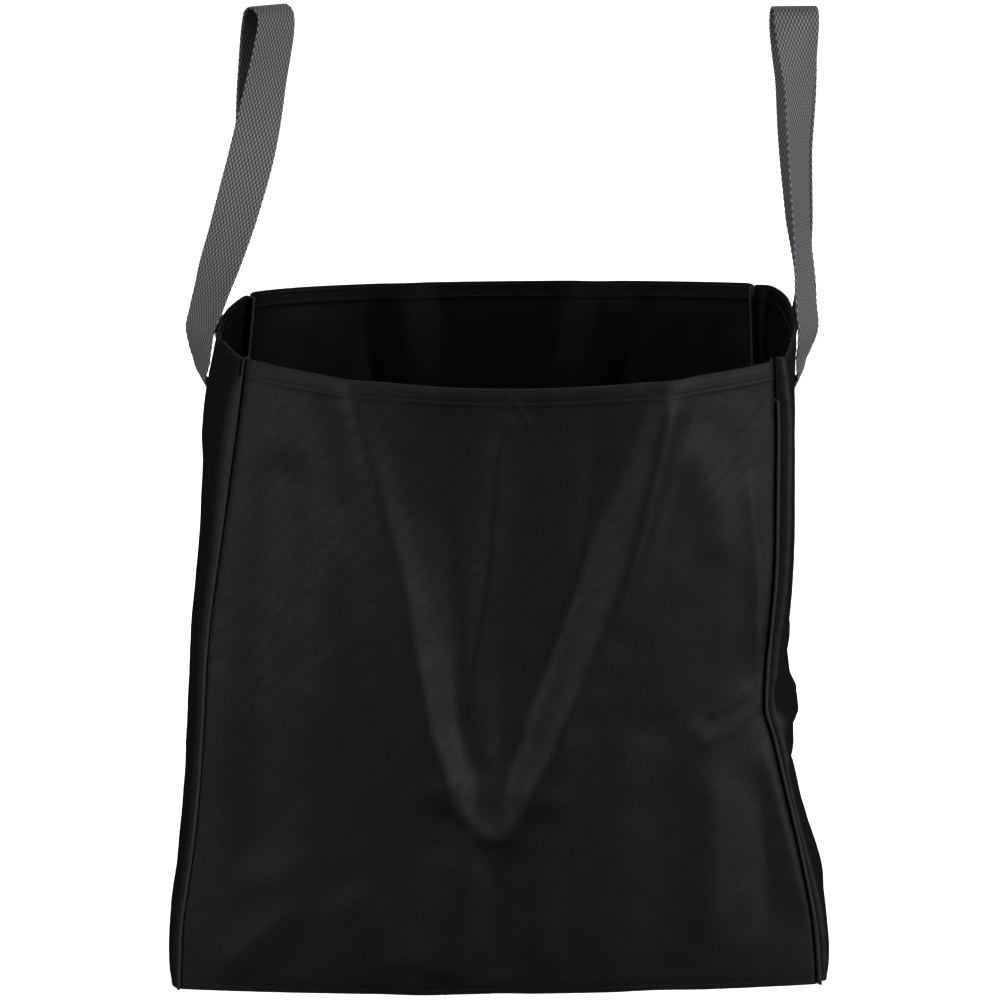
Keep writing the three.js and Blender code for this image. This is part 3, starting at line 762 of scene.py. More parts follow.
@dataclass(frozen=True)
class TwillFinish:
    """The woven face of the black cloth: fine diagonal ribs under a thin coat."""

    dark: Colour = (0.0003, 0.0003, 0.0004)
    light: Colour = (0.0080, 0.0080, 0.0083)
    worn: Colour = (0.016, 0.016, 0.0165)
    rib: float = 0.00146
    counter_rib: float = 0.00150
    yarn: float = 0.0007
    drift: float = 0.0005
    crest_roughness: float = 0.38
    valley_roughness: float = 0.74
    relief: float = 0.00014
    specular: float = 0.16
    bend_scale: float = 38.0
    share_scale: float = 9.0
    yarn_share: float = 0.3
    contrast: float = 0.48
    mottle_scale: float = 55.0
    mottle: float = 0.22
    rub_scale: float = 160.0
    crumple_scale: float = 30.0
    crumple_height: float = 0.0010

    def material(self, name: str) -> bpy.types.Material:
        """Return the finish as a material."""
        graph = Graph(name)
        u, v = graph.place()
        bent = graph.clouds(self.bend_scale)
        shift = graph.spread(bent, -self.drift, self.drift)
        down = graph.math("ADD", graph.math("ADD", u, v), shift)
        rise = graph.math("ADD", graph.math("SUBTRACT", u, v), shift)
        root = math.sqrt(2)
        ribs = graph.wave(down, self.rib * root)
        counter = graph.wave(rise, self.counter_rib * root)
        yarns = graph.wave(rise, self.yarn * root)
        share = graph.held(graph.spread(graph.clouds(self.share_scale, 1.0), -0.1, 1.15))
        main = graph.math("MULTIPLY", ribs, share)
        other = graph.math("MULTIPLY", counter, graph.math("SUBTRACT", 1.0, share))
        fine = graph.math("MULTIPLY", yarns, self.yarn_share)
        weave = graph.math("ADD", graph.math("ADD", main, other), fine)
        height = graph.math("MULTIPLY_ADD", weave, self.contrast, self.contrast)
        mottled = graph.spread(graph.clouds(self.mottle_scale, 4.0, 0.6), -self.mottle, self.mottle)
        tone = graph.held(graph.math("ADD", height, mottled))
        colour = graph.blend(tone, self.dark, self.light)
        wear = graph.node("ShaderNodeAttribute", {}, attribute_name="wear").outputs["Fac"]
        patches = graph.spread(graph.clouds(self.rub_scale, 3.0), 0.1, 0.9)
        rubbed = graph.math("MULTIPLY", wear, patches)
        crumple = graph.bump(graph.clouds(self.crumple_scale, 3.0, 0.55), self.crumple_height, 0.5)
        normal = graph.bump(height, self.relief, 1.0, crumple)
        return graph.finish(
            Base_Color=graph.blend(rubbed, colour, self.worn),
            Roughness=graph.spread(tone, self.valley_roughness, self.crest_roughness),
            Specular_IOR_Level=self.specular,
            Normal=normal,
        )


@dataclass(frozen=True)
class CoatFinish:
    """The coated back of the cloth, which the inside of the bag shows."""

    dark: Colour = (0.0012, 0.0012, 0.0013)
    light: Colour = (0.0034, 0.0034, 0.0036)
    grain: float = 0.0011
    roughness: float = 0.6
    specular: float = 0.07

    def material(self, name: str) -> bpy.types.Material:
        """Return the finish as a material."""
        graph = Graph(name)
        u, v = graph.place()
        grain = graph.math("MULTIPLY", graph.wave(u, self.grain), graph.wave(v, self.grain))
        height = graph.math("MULTIPLY_ADD", grain, 0.5, 0.5)
        crumple = graph.bump(graph.clouds(45.0, 3.0), 0.0008, 0.5)
        return graph.finish(
            Base_Color=graph.blend(graph.clouds(70.0, 3.0), self.dark, self.light),
            Roughness=graph.spread(graph.clouds(60.0, 3.0), self.roughness - 0.08, self.roughness + 0.1),
            Specular_IOR_Level=self.specular,
            Normal=graph.bump(height, 0.00006, 0.5, crumple),
        )


@dataclass(frozen=True)
class TapeFinish:
    """The black binding tape, with fine ribs across it."""

    dark: Colour = (0.007, 0.007, 0.0074)
    light: Colour = (0.026, 0.026, 0.027)
    rib: float = 0.0009
    roughness: float = 0.66
    specular: float = 0.2

    def material(self, name: str) -> bpy.types.Material:
        """Return the finish as a material."""
        graph = Graph(name)
        _, v = graph.place()
        bent = graph.math("ADD", v, graph.spread(graph.clouds(90.0), -0.0003, 0.0003))
        ribs = graph.math("MULTIPLY_ADD", graph.wave(bent, self.rib), 0.5, 0.5)
        tone = graph.math("MULTIPLY", ribs, graph.spread(graph.clouds(120.0, 3.0), 0.5, 1.3))
        return graph.finish(
            Base_Color=graph.blend(tone, self.dark, self.light),
            Roughness=graph.spread(tone, self.roughness + 0.06, self.roughness - 0.06),
            Specular_IOR_Level=self.specular,
            Normal=graph.bump(ribs, 0.00012, 0.8),
        )


@dataclass(frozen=True)
class WebbingFinish:
    """Grey woven webbing: staggered warp floats over weft rows."""

    dark: Colour = (0.013, 0.0135, 0.0145)
    light: Colour = (0.215, 0.220, 0.230)
    column: float = 0.0024
    row: float = 0.0024
    strand: float = 0.0003
    roughness: float = 0.6
    specular: float = 0.3

    def material(self, name: str) -> bpy.types.Material:
        """Return the finish as a material."""
        graph = Graph(name)
        u, v = graph.place()
        quarter = self.column / 4
        columns = graph.wave(graph.math("ADD", u, quarter), self.column)
        rows = graph.wave(graph.math("ADD", v, self.row / 2), 2 * self.row)
        floats = graph.math("MULTIPLY", columns, rows)
        tone = graph.math("POWER", graph.math("MULTIPLY_ADD", floats, 0.5, 0.5), 1.6)
        strands = graph.wave(graph.math("ADD", u, graph.math("MULTIPLY", v, 0.25)), self.strand)
        fuzz = graph.spread(graph.clouds(900.0, 2.0), 0.75, 1.25)
        tone = graph.math("MULTIPLY", tone, fuzz)
        tone = graph.held(graph.math("MULTIPLY_ADD", strands, 0.05, tone))
        return graph.finish(
            Base_Color=graph.blend(tone, self.dark, self.light),
            Roughness=graph.spread(tone, self.roughness + 0.1, self.roughness - 0.1),
            Specular_IOR_Level=self.specular,
            Normal=graph.bump(graph.math("MULTIPLY_ADD", strands, 0.3, tone), 0.00012, 0.6),
        )


@dataclass(frozen=True)
class ThreadFinish:
    """Twisted sewing thread."""

    dark: Colour = (0.002, 0.002, 0.0021)
    light: Colour = (0.009, 0.009, 0.0094)
    roughness: float = 0.5
    specular: float = 0.35

    def material(self, name: str) -> bpy.types.Material:
        """Return the finish as a material."""
        graph = Graph(name)
        twist = graph.clouds(2200.0, 1.0)
        return graph.finish(
            Base_Color=graph.blend(twist, self.dark, self.light),
            Roughness=graph.spread(twist, self.roughness - 0.05, self.roughness + 0.1),
            Specular_IOR_Level=self.specular,
            Normal=graph.bump(twist, 0.00008, 0.6),
        )


@dataclass(frozen=True)
class Finishes:
    """The materials of the bag."""

    face: bpy.types.Material
    coat: bpy.types.Material
    tape: bpy.types.Material
    webbing: bpy.types.Material
    thread: bpy.types.Material

    @classmethod
    def made(cls) -> "Finishes":
        """Make every material of the bag."""
        return cls(
            face=TwillFinish().material("black_twill"),
            coat=CoatFinish().material("black_coat"),
            tape=TapeFinish().material("binding_tape"),
            webbing=WebbingFinish().material("grey_webbing"),
            thread=ThreadFinish().material("black_thread"),
        )


def place_piece(piece: bpy.types.Object, stands_for: tuple[str, ...] = ()) -> None:
    """Let a piece ride on the bag's body, and hide any CAD nodes that it stands for."""
    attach(piece, BODY)
    if stands_for:
        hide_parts(*stands_for)
    LOG.info("%s: %d faces", piece.name, len(piece.data.polygons))


@dataclass
class Wall:
    """One cloth wall with its folded hem, its rounded rim and its turned bottom edge.

    lip_steps are the heights round the hem's lower edge, and lip_layers how many layers thick the cloth is
    at each. skin_share keeps the outside and the inside just apart where they meet at the rim and foot.
    """

    bag: BagForm
    side: Side
    node: str
    columns: int
    rows: int
    cut: float
    edge_columns: int = 9
    rim_rows: int = 5
    ripple: float = 0.0007
    pucker: float = 0.00022
    pucker_pitch: float = 0.013
    stitch_dimple: float = 0.00028
    edge_step: float = 0.0005
    seam_clearance: float = 0.0002
    lip_steps: tuple[float, ...] = (-0.0002, 0.0, 0.0003, 0.0008)
    lip_layers: tuple[float, ...] = (1.0, 1.15, 1.85, 2.0)
    upper_rows: int = 12
    skin_share: float = 0.999
    ripple_size: float = 0.045
    fine_ripple_size: float = 0.019
    ripple_stretch: tuple[float, float, float] = (1.0, 1.0, 0.55)
    pucker_size: float = 0.05
    pucker_reach: float = 0.008
    pucker_rise: float = 0.002
    rim_stitch_width: float = 0.0009
    foot_stitch_width: float = 0.0012
    hem_lift: float = 0.0004
    calm_edge: float = 0.012
    calm_foot: float = 0.02

    def across(self) -> Array:
        """Return the places of the columns, close together at both edges."""
        share = self.bag.shoulder / self.cut
        edge = np.linspace(0, share, self.edge_columns, endpoint=False)
        even = np.linspace(share, 1 - share, self.columns)
        return np.concatenate([edge, even, (1 - edge)[::-1]])

    def section(self) -> tuple[Array, Array, Array]:
        """Return the wall's section: its places up, and its insets outside and inside."""
        bag = self.bag
        rim = bag.cloth
        foot = bag.cloth / 2
        turn = np.linspace(0, math.pi / 2, self.rim_rows)
        low = (foot * (1 - np.cos(turn))) / bag.height
        low_out = foot * (1 - np.sin(turn))
        hem = 1 - bag.hem_depth / bag.height
        lip = np.array(self.lip_steps) / bag.height + hem
        body = np.linspace(low[-1], hem, self.rows)[1:-1]
        upper = np.linspace(lip[-1], 1 - rim / bag.height, self.upper_rows)[1:-1]
        crest = 1 - rim * (1 - np.sin(turn)) / bag.height
        crest_out = rim * (1 - np.cos(turn))
        ups = np.concatenate([low, body, lip, upper, crest])
        outside = np.concatenate([low_out, np.zeros(len(body) + len(lip) + len(upper)), crest_out])
        lip_inside = bag.cloth * np.array(self.lip_layers)
        inside = np.concatenate(
            [
                bag.cloth - low_out * self.skin_share,
                np.full(len(body), bag.cloth),
                lip_inside,
                np.full(len(upper), bag.hem_layers * bag.cloth),
                bag.hem_layers * rim - crest_out * self.skin_share,
            ]
        )
        return ups, outside, inside

    def relief(self, points: Array, across: Array, up: Array) -> Array:
        """Return the small unevenness of the cloth: ripples, puckered seams and sewn rows."""
        bag = self.bag
        seed = list(Side).index(self.side) * 7.3
        large = cloudy(points * np.array(self.ripple_stretch), self.ripple_size, seed)
        rest = large + 0.5 * cloudy(points, self.fine_ripple_size, seed)
        beside = np.minimum(across, 1 - across) * self.cut
        wander = cloudy(points, self.pucker_size, seed + 3.1)
        waves = np.sin(2 * math.pi * up * bag.height / self.pucker_pitch + 5 * wander)
        near = np.exp(-beside / self.pucker_reach) * smooth(beside / self.pucker_rise)
        down = (1 - up) * bag.height
        rows = sum(np.exp(-(((down - at) / self.rim_stitch_width) ** 2)) for at in bag.hem_stitches)
        foot = np.exp(-(((up * bag.height - bag.foot_stitches) / self.foot_stitch_width) ** 2))
        hem = self.hem_lift * smooth((bag.hem_depth + 0.001 - down) / 0.002)
        calm = smooth(beside / self.calm_edge) * smooth(up * bag.height / self.calm_foot)
        return (
            self.ripple * rest * calm
            + self.pucker * waves * near
            - self.stitch_dimple * (rows + foot)
            + hem
        )

    def seam_shift(self, across: Array, up: Array) -> Array:
        """Return how far in plan the cloth moves beside its seams, so that its sides lie against them."""
        bag = self.bag
        wall = WALLS[self.side]
        step = self.edge_step / self.cut
        layers = np.where(up[0] >= bag.hem_start, bag.hem_layers, 1)
        total = 0.0
        for corner, column, shares in ((wall.start, 0, (0.0, step)), (wall.end, 1, (1 - step, 1.0))):
            strip = bag.wall_points(self.side, np.array(shares)[:, None], up, creased=False)
            outer = strip[column, :, :2]
            inner = outer - grid_normals(strip)[column, :, :2] * (bag.cloth * layers)[:, None]
            foot = bag.inside_corner(corner, up[0], bag.seam_inset)
            direction = bag.seam_direction(corner)
            beside = np.array([-direction[1], direction[0]])
            beside = beside * np.sign(((outer - foot) * beside).sum(-1, keepdims=True))
            aside = np.minimum(((outer - foot) * beside).sum(-1), ((inner - foot) * beside).sum(-1))
            spare = aside - bag.binding_thickness / 2 - self.seam_clearance
            distance = np.abs(across - shares[column]) * self.cut
            turn = (1 - np.clip(distance / bag.shoulder, 0, 1)) ** 2
            total = total - turn[..., None] * (spare[:, None] * beside)[None]
        return total

    def surface(self, across: Array, up: Array, inset: Array = 0.0) -> Array:
        """Return points of the finished wall at a depth in from its outside."""
        points = self.bag.wall_points(self.side, across, up)
        normals = grid_normals(points)
        shift = self.seam_shift(across, up)
        across, up = np.broadcast_arrays(across, up)
        out = self.relief(points, across, up) - inset
        moved = points + normals * out[..., None]
        moved[..., :2] += shift
        moved[..., 2] = np.clip(moved[..., 2], 0.0, None)
        return moved

    def build(self, finishes: Finishes) -> bpy.types.Object:
        """Make the wall, and hide the CAD node that it stands for."""
        bag = self.bag
        across = self.across()[:, None]
        ups, outside, inside = self.section()
        outer = self.surface(across, ups[None, :], outside[None, :])
        inner = self.surface(across, ups[None, :], inside[None, :])
        for layer in (outer, inner):
            layer[..., 2] += (ups * bag.height - layer[..., 2]) * (ups * bag.height < bag.cloth)
        points = np.concatenate([outer, inner[:, ::-1]], axis=1)
        up = np.concatenate([ups, ups[::-1]])[None, :]
        u, v = np.broadcast_arrays(across * self.cut, up * bag.height)
        rim = np.exp(-(((1 - up) * bag.height) / 0.0012) ** 2)
        foot = np.exp(-((up * bag.height) / 0.002) ** 2)
        beside = np.minimum(across, 1 - across) * self.cut
        wear = np.clip(0.7 * rim + 0.5 * foot + 0.35 * np.exp(-((beside / 0.004) ** 2)), 0, 1)
        count = len(ups)
        finish = np.repeat([0, 1], count)
        draft = Draft()
        numbers = draft.add_grid(points, np.stack([u, v], axis=-1), wear, finish, closed=True)
        for column, order in ((0, (0, 1, 2, 3)), (-1, (3, 2, 1, 0))):
            line = numbers[column]
            out, back = line[:count], line[count:][::-1]
            rungs = np.stack([out[:-1], out[1:], back[1:], back[:-1]], axis=-1)
            draft.add_faces(rungs[:, list(order)])
        piece = draft.build(f"{self.node}_cloth", [finishes.face, finishes.coat])
        place_piece(piece, (self.node,))
        return piece

    def row(self, down: float, inset: float, pitch: float = 0.002) -> Array:
        """Return a line across the wall at a depth below its rim, for a row of stitches.

        Args:
            down: How far the row is below the rim.
            inset: How far it is in from the outside of the cloth.
            pitch: The step of the line.

        Returns:
            The points of the line.
        """
        margin = 0.004 / self.cut
        across = np.linspace(margin, 1 - margin, int(self.cut / pitch))[:, None]
        up = (1 - down / self.bag.height) + np.array([-0.001, 0.0, 0.001])
        return self.surface(across, up[None, :], inset)[:, 1]


@dataclass
class BasePanel:
    """The base: one sheet that lies between the feet of the walls."""

    bag: BagForm
    node: str = "base_panel"
    columns: int = 70
    rows: int = 46
    unevenness: float = 0.0009

    def edge(self, side: Side, count: int) -> Array:
        """Return evenly spaced points along the foot of a wall, on its inside."""
        bag = self.bag
        wall = WALLS[side]
        share = bag.shoulder / bag.depth
        across = np.linspace(share, 1 - share, 40)[:, None]
        grid = bag.wall_points(side, across, np.array([[0.0, 0.004]]), creased=False)
        sits = grid[:, 0] - grid_normals(grid)[:, 0] * bag.cloth
        ends = [
            bag.inside_corner(name, np.array(0.0), bag.base_corner_inset)
            for name in (wall.start, wall.end)
        ]
        line = np.vstack([ends[0], sits[:, :2], ends[1]])
        run = np.concatenate([[0], np.cumsum(np.linalg.norm(np.diff(line, axis=0), axis=1))])
        even = np.linspace(0, run[-1], count)
        return np.stack([np.interp(even, run, line[:, k]) for k in (0, 1)], axis=-1)

    def build(self, finishes: Finishes) -> bpy.types.Object:
        """Make the base from the curves of its four edges."""
        bag = self.bag
        front = self.edge(Side.FRONT, self.columns)
        back = self.edge(Side.BACK, self.columns)[::-1]
        right = self.edge(Side.RIGHT, self.rows)
        left = self.edge(Side.LEFT, self.rows)[::-1]
        s = np.linspace(0, 1, self.columns)[:, None, None]
        t = np.linspace(0, 1, self.rows)[None, :, None]
        flat = (
            (1 - t) * front[:, None] + t * back[:, None] + (1 - s) * left[None] + s * right[None]
            - (1 - s) * (1 - t) * front[0] - s * (1 - t) * front[-1]
            - (1 - s) * t * back[0] - s * t * back[-1]
        )
        level = np.concatenate([flat, np.zeros((*flat.shape[:2], 1))], axis=-1)
        inwards = np.minimum(np.minimum(s, 1 - s) * bag.width, np.minimum(t, 1 - t) * bag.depth)[..., 0]
        rise = self.unevenness * smooth(inwards / 0.03) * np.clip(cloudy(level, 0.07, 2.0) + 0.3, 0, 1)
        bottom, top = level.copy(), level.copy()
        bottom[..., 2] = rise
        top[..., 2] = rise + bag.cloth
        draft = Draft()
        places = np.stack(np.broadcast_arrays(s[..., 0] * bag.width, t[..., 0] * bag.depth), axis=-1)
        wear = 0.3 * np.exp(-((inwards / 0.004) ** 2))
        upper = draft.add_grid(top, places, wear, 1, closed=False)
        lower = draft.add_grid(bottom[::-1], places[::-1], wear[::-1], 0, closed=False)[::-1]
        loop = [(i, 0) for i in range(self.columns)] + [(self.columns - 1, j) for j in range(1, self.rows)]
        loop += [(i, self.rows - 1) for i in range(self.columns - 2, -1, -1)]
        loop += [(0, j) for j in range(self.rows - 2, -1, -1)]
        rim = [(lower[a], lower[b], upper[b], upper[a]) for a, b in zip(loop[:-1], loop[1:])]
        draft.add_faces(np.array(rim))
        piece = draft.build(f"{self.node}_cloth", [finishes.face, finishes.coat])
        place_piece(piece, (self.node,))
        return piece


@dataclass
class SeamBinding:
    """A bound seam: a folded tape over the raw edges of two walls, which stands out along a corner."""

    bag: BagForm
    corner: Corner
    rows: int = 190
    tape_edge: float = 0.0006
    filling: float = 0.00012
    root: float = 0.004
    sway: float = 0.00035
    swell: float = 0.00018
    stitch_inset: float = 0.0010
    swell_pitch: float = 0.0052

    @property
    def node(self) -> str:
        """The CAD node that this seam stands for."""
        return f"seam_binding_{self.corner.value}"

    @property
    def top(self) -> float:
        """The height share of the seam's square top."""
        return 1 - SEAMS[self.corner].drop / self.bag.height

    def profile(self) -> Array:
        """Return the section: how far out each point is and how far to the side."""
        bag = self.bag
        half = bag.binding_thickness / 2
        tip = bag.binding_width - half
        layers = 0.8 * half
        turn = np.linspace(-math.pi / 2, math.pi / 2, 9)
        level = SEAMS[self.corner].meets * bag.binding_width
        filling = half + self.filling
        edge = max(level, 0.0) + self.tape_edge
        side = [
            (-self.root, layers),
            (level - bag.cloth - 0.0004, layers),
            (level - bag.cloth, filling),
            (level - 0.0002, filling),
            (level + 0.0002, layers),
            (edge - 0.0001, layers),
            (edge, 0.97 * half),
            (edge + 0.0004, half),
            (0.5 * (edge + tip), 0.95 * half),
        ]
        round_tip = [(tip + half * math.cos(a), half * math.sin(a)) for a in turn]
        lower = [(out, -aside) for out, aside in side]
        return np.array(lower + round_tip + side[::-1])

    def points(self, up: Array, profile: Array) -> Array:
        """Return the section's points at each height share."""
        bag = self.bag
        direction = bag.seam_direction(self.corner)
        beside = np.array([-direction[1], direction[0]])
        foot = bag.inside_corner(self.corner, up, bag.seam_inset)
        z = up * bag.height
        line = np.concatenate([foot, z[..., None]], axis=-1)
        seed = list(Corner).index(self.corner) * 5.7
        sway = self.sway * cloudy(line, 0.04, seed)
        waves = np.sin(2 * math.pi * z / self.swell_pitch + 3 * sway / self.sway)
        swell = 1 + self.swell / bag.binding_thickness * waves
        out, aside = profile[:, 0], profile[:, 1]
        free = np.clip(out / bag.binding_width, 0, 1)
        shift = aside[None, :] * swell[:, None] + sway[:, None] * free[None, :]
        flat = foot[:, None] + direction * out[None, :, None] + beside * shift[..., None]
        height = np.broadcast_to(z[:, None], flat.shape[:2])
        return np.concatenate([flat, height[..., None]], axis=-1)

    def build(self, finishes: Finishes) -> bpy.types.Object:
        """Make the seam, and hide the CAD node that it stands for."""
        bag = self.bag
        profile = self.profile()
        inwards = np.array([0.00005, 0.0003])
        ends = inwards / bag.height
        even = np.linspace(0.004, self.top - 0.004, self.rows)
        up = np.concatenate([[0.0], ends, even, self.top - ends[::-1], [self.top]])
        points = self.points(up, profile)
        middle = points.mean(axis=1, keepdims=True)
        for row, share in ((0, 0.85), (1, 0.95), (-2, 0.95), (-1, 0.85)):
            points[row] = middle[row] + (points[row] - middle[row]) * share
        points[..., 2] = np.clip(points[..., 2], 0, None)
        round_way = np.concatenate([[0], np.cumsum(np.linalg.norm(np.diff(profile, axis=0), axis=1))])
        places = np.stack(np.broadcast_arrays(round_way[None, :], up[:, None] * bag.height), axis=-1)
        draft = Draft()
        tip = np.exp(-(((profile[:, 0] - bag.binding_width) / 0.001) ** 2))[None, :]
        numbers = draft.add_grid(points[::-1], places[::-1], tip, 0, closed=True)[::-1]
        draft.faces.append(numbers[0].tolist()[::-1])
        draft.faces.append(numbers[-1].tolist())
        draft.finishes.extend([0, 0])
        piece = draft.build(f"{self.node}_tape", [finishes.tape], sharp=60.0)
        place_piece(piece, (self.node,))
        return piece

    def row(self, side: float) -> Array:
        """Return a line up one face of the tape, for its row of stitches."""
        half = self.bag.binding_thickness / 2
        out = SEAMS[self.corner].meets * self.bag.binding_width + self.tape_edge + self.stitch_inset
        profile = np.array([(out, side * half)])
        up = np.linspace(0.01, self.top - 0.006, 200)
        return self.points(up, profile)[:, 0]


@dataclass
class Handle:
    """A webbing loop that is sewn to the outside of a gusset by both its ends."""

    bag: BagForm
    side: int
    sewn: tuple[float, float]
    front: tuple
    top: tuple[float, float, float]
    back: tuple
    width: float = 0.030
    thickness: float = 0.0018
    rise: float = 0.203
    turn_diameter: float = 0.017
    sewn_length: float = 0.060
    sewn_drop: float = 0.049
    sewn_gap: float = 0.00115
    turn_steps: int = 4
    column: float = 0.0024
    row: float = 0.0024
    steps_per_row: int = 4
    float_height: float = 0.00026
    edge_width: float = 0.0012
    scallop: float = 0.00022
    turn_window: int = 15
    stitch_margin: float = 0.003

    @property
    def word(self) -> str:
        """The handle's side as a word."""
        return "left" if self.side < 0 else "right"

    def sewn_station(self, place: float, drop: float, front: bool) -> tuple[Array, float]:
        """Return where a leg lies on its gusset, and how its width is turned."""
        bag = self.bag
        wall = Side.LEFT if self.side < 0 else Side.RIGHT
        at = 1 - place if self.side < 0 else place
        step = 0.02
        up = 1 - drop / bag.height
        shares = np.array([[at - step], [at], [at + step]])
        heights = np.array([[up - step, up, up + step]])
        grid = bag.wall_points(wall, shares, heights, creased=False)
        along = grid[2, 1] - grid[0, 1]
        upward = grid[1, 2] - grid[1, 0]
        outward = unit(np.cross(along, upward))
        point = grid[1, 1] + outward * (self.thickness / 2 + self.sewn_gap)
        across = along if front else -along
        return point, math.degrees(math.atan2(across[1], across[0]))

    def stations(self) -> tuple[Array, Array]:
        """Return the handle's stations, from its front end over the top to its back end."""
        bag = self.bag

        def free(rise: float, out: float, back: float, turn: float) -> tuple[Array, float]:
            x = self.side * out * bag.width / 2
            return np.array([x, back * bag.depth / 2, bag.height + rise * self.rise]), turn

        out, back, turn = self.top
        crown, _ = free(1.0, out, back, turn)
        angle = math.radians(turn)
        across = np.array([-math.sin(angle), math.cos(angle), 0.0])
        radius = self.turn_diameter / 2
        crown[2] -= radius + self.thickness / 2
        turned = []
        for k in range(self.turn_steps + 1):
            swing = math.pi * k / self.turn_steps
            lift = np.array([0.0, 0.0, radius * math.sin(swing)])
            turned.append((crown + across * radius * (1 - math.cos(swing)) + lift, turn))
        drops = [self.sewn_drop + part * self.sewn_length for part in (1, 0.67, 0.33, 0)]
        made = [self.sewn_station(self.sewn[0], drop, True) for drop in drops]
        made += [free(*row) for row in self.front] + turned + [free(*row) for row in self.back]
        made += [self.sewn_station(self.sewn[1], drop, False) for drop in drops[::-1]]
        return np.array([point for point, _ in made]), np.array([turn for _, turn in made])

    def strip(self) -> tuple[Array, Array, Array, Array]:
        """Return the middle line of the webbing, its width and face directions, and its run."""
        places, turns = self.stations()
        fine = 24
        line = flowing_line(places, fine)
        run = np.concatenate([[0], np.cumsum(np.linalg.norm(np.diff(line, axis=0), axis=1))])
        count = round(run[-1] / self.row) * self.steps_per_row
        even = np.linspace(0, run[-1], count + 1)
        middle = np.stack([np.interp(even, run, line[:, k]) for k in range(3)], axis=-1)
        stations = np.arange(len(line)) / fine
        turn = np.radians(np.interp(np.interp(even, run, stations), np.arange(len(turns)), turns))
        kernel = np.hanning(self.turn_window)
        kernel /= kernel.sum()
        padded = np.pad(turn, self.turn_window // 2, mode="edge")
        turn = np.convolve(padded, kernel, mode="valid")
        forward = unit(np.gradient(middle, axis=0))
        across = np.stack([np.cos(turn), np.sin(turn), np.zeros_like(turn)], axis=-1)
        across = unit(across - forward * (across * forward).sum(-1, keepdims=True))
        through = unit(np.cross(forward, across))
        return middle, across, through, even

    def build(self, finishes: Finishes) -> bpy.types.Object:
        """Make the webbing, woven in relief, and hide the CAD node that it stands for."""
        middle, across, through, run = self.strip()
        half = self.width / 2
        edge = self.thickness / 2
        count = 2 * round(self.width / self.column)
        flat = np.linspace(-half + edge * 0.6, half - edge * 0.6, count + 1)
        u = np.concatenate([flat, [half], flat[::-1], [-half]])
        face = np.concatenate([np.ones(count + 1), [0.0], -np.ones(count + 1), [0.0]])
        weave = np.cos(2 * math.pi * u[None, :] / self.column) * np.cos(math.pi * run[:, None] / self.row)
        rib = np.cos(2 * math.pi * run[:, None] / self.row)
        near_edge = np.clip((half - np.abs(u[None, :])) / self.edge_width, 0, 1)
        lift = (edge - 0.0001 + self.float_height * weave) * (0.75 + 0.25 * near_edge) * np.abs(face)
        scallop = self.scallop * rib * (1 - near_edge)
        aside = u[None, :] + np.sign(u[None, :]) * scallop
        points = (
            middle[:, None]
            + across[:, None] * aside[..., None]
            + through[:, None] * (face * lift)[..., None]
        )
        places = np.stack(np.broadcast_arrays(u[None, :], run[:, None]), axis=-1)
        draft = Draft()
        numbers = draft.add_grid(points, places, 0.0, 0, closed=True)
        draft.faces.append(numbers[0].tolist())
        draft.faces.append(numbers[-1].tolist()[::-1])
        draft.finishes.extend([0, 0])
        piece = draft.build(f"handle_{self.word}_webbing", [finishes.webbing], sharp=80.0)
        place_piece(piece, (f"handle_{self.word}",))
        return piece

    def box_rows(self) -> list[Array]:
        """Return the lines of the sewn boxes at both ends, on the outside of the webbing."""
        middle, across, through, run = self.strip()
        half = self.width / 2 - self.stitch_margin
        low, high = 0.004, self.sewn_length - 0.006
        corners = [(-half, low), (half, low), (half, high), (-half, high)]
        box = [*corners, corners[0]]
        lines = [box, [corners[0], corners[2]], [corners[1], corners[3]]]
        lift = self.thickness / 2 + 0.0001
        rows = []
        for mirrored in (False, True):
            for line in lines:
                runs = [np.linspace(a, b, 30, endpoint=False) for a, b in zip(line[:-1], line[1:])]
                dense = np.concatenate([*runs, [line[-1]]])
                along = run[-1] - dense[:, 1] if mirrored else dense[:, 1]
                parts = [
                    np.stack([np.interp(along, run, part[:, k]) for k in range(3)], axis=-1)
                    for part in (middle, across, through)
                ]
                sign = np.sign(parts[2][:, :1] * self.side)
                rows.append(parts[0] + parts[1] * dense[:, :1] + parts[2] * sign * lift)
        return rows


STITCH_SOCKETS = (
    ("Geometry", "INPUT", "NodeSocketGeometry"),
    ("Stitch Pitch", "INPUT", "NodeSocketFloat"),
    ("Stitch Length", "INPUT", "NodeSocketFloat"),
    ("Thread Width", "INPUT", "NodeSocketFloat"),
    ("Seed", "INPUT", "NodeSocketInt"),
    ("Thread", "INPUT", "NodeSocketMaterial"),
    ("Geometry", "OUTPUT", "NodeSocketGeometry"),
)

STITCH_NODES = {
    "given": "NodeGroupInput",
    "result": "NodeGroupOutput",
    "line": "GeometryNodeMeshToCurve",
    "spaced": "GeometryNodeResampleCurve",
    "tangent": "GeometryNodeInputTangent",
    "aim": "FunctionNodeAlignRotationToVector",
    "ball": "GeometryNodeMeshUVSphere",
    "size": "ShaderNodeCombineXYZ",
    "stretched": "GeometryNodeTransform",
    "uneven": "FunctionNodeRandomValue",
    "laid": "GeometryNodeInstanceOnPoints",
    "real": "GeometryNodeRealizeInstances",
    "soft": "GeometryNodeSetShadeSmooth",
    "dressed": "GeometryNodeSetMaterial",
}

